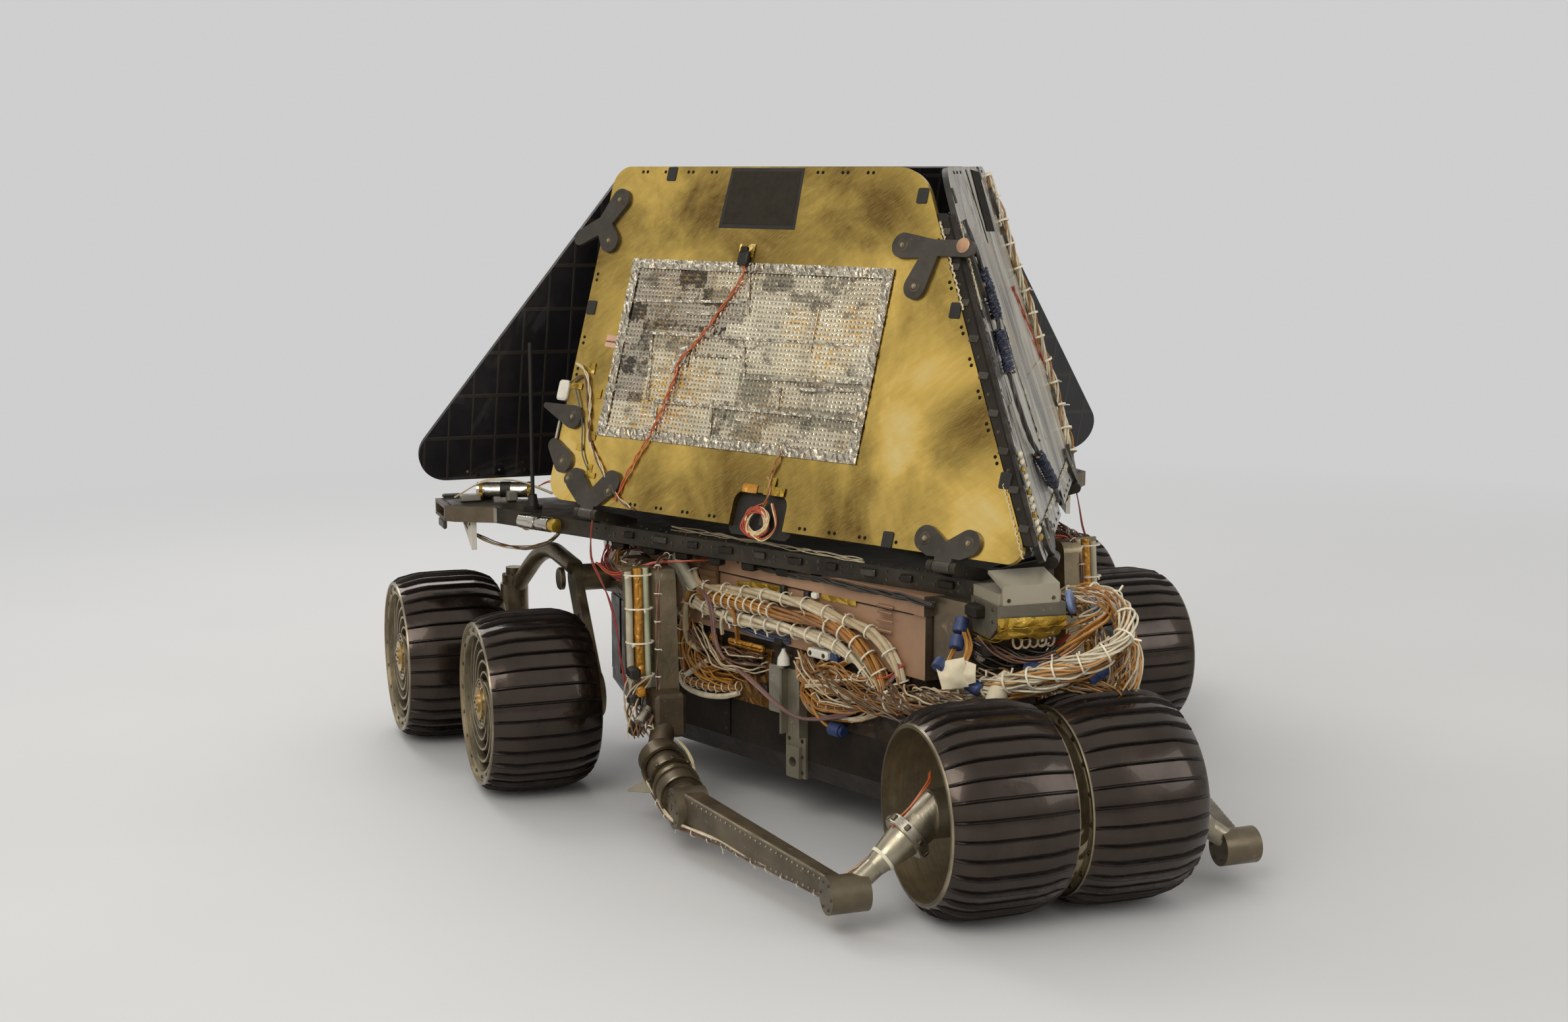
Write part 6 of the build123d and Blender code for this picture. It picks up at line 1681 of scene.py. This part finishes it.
EAR_BLOCKS = (              # centre on the left side, size
    ((-480, 470, 388), (30, 22, 14)), ((-452, 500, 386), (22, 30, 10)), ((-430, 440, 389), (16, 16, 16)),
    ((-496, 520, 384), (10, 30, 6)), ((-470, 540, 346), (40, 6, 14)),
)
HINGE_MOTORS = ((12, (-462, 487, 396), (-433, 405, 396)), (11, (-465, 414, 340), (-434, 363, 340)))


def deck_bolts(side_name, half, edge):
    """Small bolts along one edge of the deck, on its ear and at its hinges."""
    out, up = edge.off, edge.up
    bolts = []
    for x in range(96, 800, 19):
        bolts.append((edge.at(x, -26 - (x % 3) * 3, 0), out, 1.7))
        if x % 2:
            bolts.append((edge.at(x, -36, 0), out, 1.4))
        bolts.append((edge.at(x, -20, -9 - (x % 2) * 8), up, 1.7))
    for x in range(-490, -415, 15):
        bolts.append((half.at(x, 536, 380), up, 1.8))
        bolts.append((half.at(x, 545, 359), half.way(0, 1, 0), 1.5))
    for place in (151, 778):
        for dx in (-18, 18):
            bolts.append((edge.at(place + dx, -15, -22), up, 2.2))
            bolts.append((edge.at(place + dx * 1.21, -9, 20), out, 1.6))
    studs(f"{side_name}_deck_bolts", "root", "dark steel", bolts)


def deck_parts(side_name, half, edge):
    """Clips, motor bands and the ear's blocks along one edge of the deck."""
    piece = Build(f"{side_name}_deck_parts", "root")
    axes = edge.axes()
    for seed, x in enumerate(range(110, 800, 62)):
        if abs(x - 778) > 40:
            finish = ("bracket", "rail", "hull")[seed % 3]
            piece.block(finish, edge.at(x, -30, 2), (18 + 6 * (seed % 2), 9, 5), axes)
            piece.block("rail", edge.at(x + 30, -50, -12), (22, 12, 16), axes, 2)
    piece.plate("grey", edge, [(1010, -43), (1062, -43), (1062, -21), (1010, -21)], 0.1, 1.6)
    piece.turned("silver", edge.at(880, -31, 11), edge.along,
                 ((0, 8), (1, 11), (24, 11), (24, 9.6), (30, 9.6), (30, 11), (64, 11), (65, 8)), 28)
    piece.turned("yellow film", edge.at(868, -31, 11), edge.along, ((0, 8), (1, 10), (11, 10), (12, 8)), 24)
    for centre, size in EAR_BLOCKS:
        piece.block("grey" if centre[2] > 385 else "bracket", half.at(*centre), size, bevel=2)
    for radius, start, end in HINGE_MOTORS:
        way, origin = half.way(*(Vector(end) - Vector(start))), half.at(*start)
        piece.ring("black", origin, way, way.length * 0.42, way.length * 0.6, radius, radius + 0.9)
        for share in (0.05, 0.9):
            low = way.length * share
            piece.ring("yellow film", origin, way, low, low + 5, radius, radius + 0.8)
    piece.done()


class ROVER_OT_deck(bpy.types.Operator):
    """Adds the deck's bolts, clips, ear fittings and loose wires"""

    bl_idname = "rover.deck"
    bl_label = "Dress the Deck"

    def execute(self, context):
        for side_name, side in SIDES:
            half, wing = Half(side), WING[side_name]
            out = Vector((0.5, side * sin(radians(60)), 0))
            edge = Face(wing.origin - out * 0.036, wing.along, (0, 0, 1), out)
            deck_bolts(side_name, half, edge)
            deck_parts(side_name, half, edge)
            lay_wires(f"{side_name}_deck_wires", DECK_RUNS, half.at, 0.6, 8, 91, {})
        return {"FINISHED"}


BODY_RUNS = (               # name, step, wander, tie spacing, points
    ("rear", 7, 5, 34, ((-424, -120, 318), (-446, -126, 300), (-440, -60, 268), (-446, 20, 264),
     (-440, 90, 270), (-444, 128, 300), (-424, 120, 318))),
    ("mast", 8, 3, 40, ((-330, 40, 392), (-250, 34, 398), (-120, 36, 396), (0, 34, 398), (130, 30, 394),
     (180, 0, 388))),
)


class ROVER_OT_body(bpy.types.Operator):
    """Adds the body's side and rear fittings, the lenses and the mast's details"""

    bl_idname = "rover.body"
    bl_label = "Dress the Body"

    def execute(self, context):
        piece = Build("body_parts", "root")
        for side_name, side in SIDES:
            for x in range(-390, -190, 60):
                piece.block("hull", point(x, side * 287, 170), (50, 3, 120), bevel=1.2)
            piece.block("rail", point(-300, side * 288, 238), (230, 5, 6), bevel=1.5)
            piece.block("post", point(-424, side * 282, 300), (8, 18, 100), bevel=2)
            for x, z in ((-380, 316), (-350, 316), (-250, 270)):
                piece.turned("steel", point(x, side * 290, z), (0, side, 0),
                             ((0, 10), (3, 10), (3, 8), (12, 8), (12, 9), (16, 9)), 20)
            for y, diameter in ((112, 38), (64, 24)):
                piece.turned("glass", point(-408.5, side * y, 421), (-1, 0, 0),
                             ((0, diameter * 0.36), (1.5, diameter * 0.36), (2.4, diameter * 0.2)), 24)
            piece.turned("glass", point(-470.2, side * 24, 336), (-1, 0, 0),
                         ((0, 7.5), (1.2, 7.5), (2.0, 4)), 22)
        for y in range(-200, 201, 80):
            piece.block("hull", point(-421, y, 168), (3, 70, 126), bevel=1.2)
        piece.block("rail", point(-424, 0, 242), (6, 540, 7), bevel=1.5)
        for y, z in ((-140, 286), (-100, 286), (100, 286), (140, 286), (-120, 318), (120, 318)):
            piece.turned("steel", point(-424, y, z), (-1, 0, 0),
                         ((0, 11), (3, 11), (3, 9), (14, 9), (14, 10), (18, 10)), 20)
        corners = [point(-428, y, z) for y, z in ((-80, 262), (80, 262), (80, 306), (-80, 306))]
        piece.film("silver", corners, (-1, 0, 0), 3, 60, (20, 8), 0.5, 4, 1)
        for x in (-250, -60, 90):
            piece.ring("black", point(x, 0, 421), (1, 0, 0), 0, 14, 27.2, 29.4, 32)
        piece.turned("glass", point(-180, 200, 434.2), (0, 0, 1), ((0, 9), (1, 9), (1.4, 6)), 20)
        piece.done()
        bolts = []
        for side_name, side in SIDES:
            for x in range(-405, -190, 24):
                bolts.append((point(x, side * 290.5, 238), Vector((0, side, 0)), 1.7))
                bolts.append((point(x, side * 294, 349), Vector((0, side, 0)), 1.8))
            for y in (30, 66, 96, 134):
                bolts.append((point(-394, side * y, 441), Vector((-1, 0, 0)), 1.8))
                bolts.append((point(-362, side * y, 444), Vector((0, 0, 1)), 1.8))
            bolts += [(point(x, side * 508.1, 350), Vector((0, side, 0)), 2.0) for x in (-440, -420)]
        bolts += [(point(-428, y, 349), Vector((-1, 0, 0)), 1.8) for y in range(-260, 261, 26)]
        bolts += [(point(-427, y, 242), Vector((-1, 0, 0)), 1.7) for y in range(-260, 261, 26)]
        bolts += [(point(x + 8, y, 62), Vector((0, 0, -1)), 2.0) for x in range(-380, 300, 60)
                  for y in (-60, 0, 60)]
        bolts += ring_places(point(-190, 200, 434), Vector((0, 0, 1)), 112, 20, 2.0)
        studs("body_bolts", "root", "dark steel", bolts)
        for number, (name, step, wander, spacing, points) in enumerate(BODY_RUNS):
            route = [point(*p) for p in points]
            bundle(f"{name}_wires", "root", "mixed wire", [(6, route)], 9, 1.6, 0.0, 0.8, wander, step,
                   seed=61 + number)
            ties(f"{name}_wire_ties", "root", [(8, route)], spacing, 1.1, 0.2, 0.8, seed=9 + number)
        return {"FINISHED"}


# Stage
def lamp(name, place, target, size, power, tint=(1, 1, 1)):
    data = bpy.data.lights.new(name, "AREA")
    data.shape = "RECTANGLE"
    data.size, data.size_y = size
    data.energy = power
    data.color = tint
    obj = bpy.data.objects.new(name, data)
    bpy.context.scene.collection.objects.link(obj)
    obj.location = place
    obj.rotation_mode = "QUATERNION"
    obj.rotation_quaternion = (Vector(target) - Vector(place)).to_track_quat("-Z", "Y")
    return obj


def pale_floor(tone):
    """The floor: it keeps the shadow near the rover and fades to the background's own colour far off."""
    f = Finish("pale floor", (tone, tone, tone), 0.0, 0.75)
    shade = f.band(f.noise(1.6, 4), 0.3, 0.7, tone * 0.98, tone * 1.02)
    f.to(f.node("ShaderNodeCombineColor", {0: shade, 1: shade, 2: shade}).outputs[0], "Base Color")
    reach = f.node("ShaderNodeVectorMath", {0: f.place}, operation="LENGTH").outputs["Value"]
    seen = f.node("ShaderNodeLightPath").outputs["Is Camera Ray"]
    glow = f.node("ShaderNodeEmission", {"Color": (tone, tone, tone, 1)})
    mix = f.node("ShaderNodeMixShader", {
        0: f.sums("MULTIPLY", f.band(reach, 1.1, 3.6), seen), 1: f.shader.outputs[0], 2: glow.outputs[0]})
    f.tree.links.new(mix.outputs[0], f.tree.nodes["Material Output"].inputs["Surface"])
    mesh = bpy.data.meshes.new("floor")
    mesh.from_pydata([(-30, -30, 0), (30, -30, 0), (30, 30, 0), (-30, 30, 0)], [], [(0, 1, 2, 3)])
    mesh.materials.append(f.material)
    obj = bpy.data.objects.new("floor", mesh)
    bpy.context.scene.collection.objects.link(obj)
    return obj


def room_light(tone, level):
    """A soft world: pale to the camera, a gentle sky-to-floor fade for light and reflections."""
    world = bpy.data.worlds.new("soft room")
    bpy.context.scene.world = world
    world.use_nodes = True
    room = Graph()
    room.tree = world.node_tree
    room.tree.nodes.clear()
    way = room.node("ShaderNodeTexCoord").outputs["Generated"]
    height = room.node("ShaderNodeSeparateXYZ", {0: way}).outputs["Z"]
    fade = room.node("ShaderNodeValToRGB", {0: room.band(height, -1, 1)})
    fade.color_ramp.elements[0].position = 0.42
    fade.color_ramp.elements[0].color = (0.16, 0.145, 0.13, 1)
    fade.color_ramp.elements[1].position = 0.62
    fade.color_ramp.elements[1].color = (0.88, 0.87, 0.84, 1)
    lit = room.node("ShaderNodeBackground", {"Color": fade.outputs[0], "Strength": level})
    seen = room.node("ShaderNodeBackground", {"Color": (tone, tone, tone, 1)})
    ray = room.node("ShaderNodeLightPath").outputs["Is Camera Ray"]
    mix = room.node("ShaderNodeMixShader", {0: ray, 1: lit.outputs[0], 2: seen.outputs[0]})
    room.node("ShaderNodeOutputWorld", {0: mix.outputs[0]})


class ROVER_OT_stage(bpy.types.Operator):
    """Adds the floor, the soft light and the camera"""

    bl_idname = "rover.stage"
    bl_label = "Set the Stage"

    def execute(self, context):
        stage = context.scene.rover_stage
        pale_floor(stage.floor_tone)
        room_light(stage.floor_tone, 0.75 * stage.light_level)
        lamp("key light", (2.4, -2.6, 3.0), (0, 0, 0.35), (2.4, 2.4), 70 * stage.light_level,
             (1, 0.96, 0.90))
        lamp("fill light", (2.6, 2.4, 1.8), (0, 0, 0.35), (2.0, 2.0), 22 * stage.light_level)
        lamp("back light", (-2.6, -0.6, 2.6), (0, 0, 0.5), (2.4, 1.6), 40 * stage.light_level)
        data = bpy.data.cameras.new("camera")
        data.lens = stage.lens
        data.sensor_width = 36.0
        data.clip_start, data.clip_end = 0.05, 100.0
        camera = bpy.data.objects.new("camera", data)
        context.scene.collection.objects.link(camera)
        camera.location = stage.camera_place
        camera.rotation_mode = "QUATERNION"
        camera.rotation_quaternion = Vector(stage.camera_aim).to_track_quat("-Z", "Y")
        context.scene.camera = camera
        context.scene.view_settings.view_transform = "Standard"
        return {"FINISHED"}


OPERATORS = (ROVER_OT_nodes, ROVER_OT_wheels, ROVER_OT_right_wing, ROVER_OT_left_wing, ROVER_OT_rear_panel,
             ROVER_OT_wall_wiring, ROVER_OT_nose, ROVER_OT_legs, ROVER_OT_deck, ROVER_OT_body,
             ROVER_OT_stage)


class ROVER_PT_panel(bpy.types.Panel):
    bl_idname = "ROVER_PT_panel"
    bl_label = "Rover"
    bl_space_type = "VIEW_3D"
    bl_region_type = "UI"
    bl_category = "Rover"

    def draw(self, context):
        for operator in OPERATORS:
            self.layout.operator(operator.bl_idname)
        for name, group in GROUPS:
            box = self.layout.box()
            for prop in group.__annotations__:
                box.prop(getattr(context.scene, name), prop)


GROUPS = (("rover_paint", RoverPaint), ("rover_wiring", RoverWiring), ("rover_stage", RoverStage))


def register():
    for name, group in GROUPS:
        bpy.utils.register_class(group)
        setattr(bpy.types.Scene, name, PointerProperty(type=group))
    for item in (*OPERATORS, ROVER_PT_panel):
        bpy.utils.register_class(item)


def unregister():
    for item in reversed((*OPERATORS, ROVER_PT_panel)):
        bpy.utils.unregister_class(item)
    for name, group in reversed(GROUPS):
        delattr(bpy.types.Scene, name)
        bpy.utils.unregister_class(group)


def main():
    register()
    for operator in OPERATORS:
        group, name = operator.bl_idname.split(".")
        getattr(getattr(bpy.ops, group), name)()


if __name__ == "__main__":
    main()
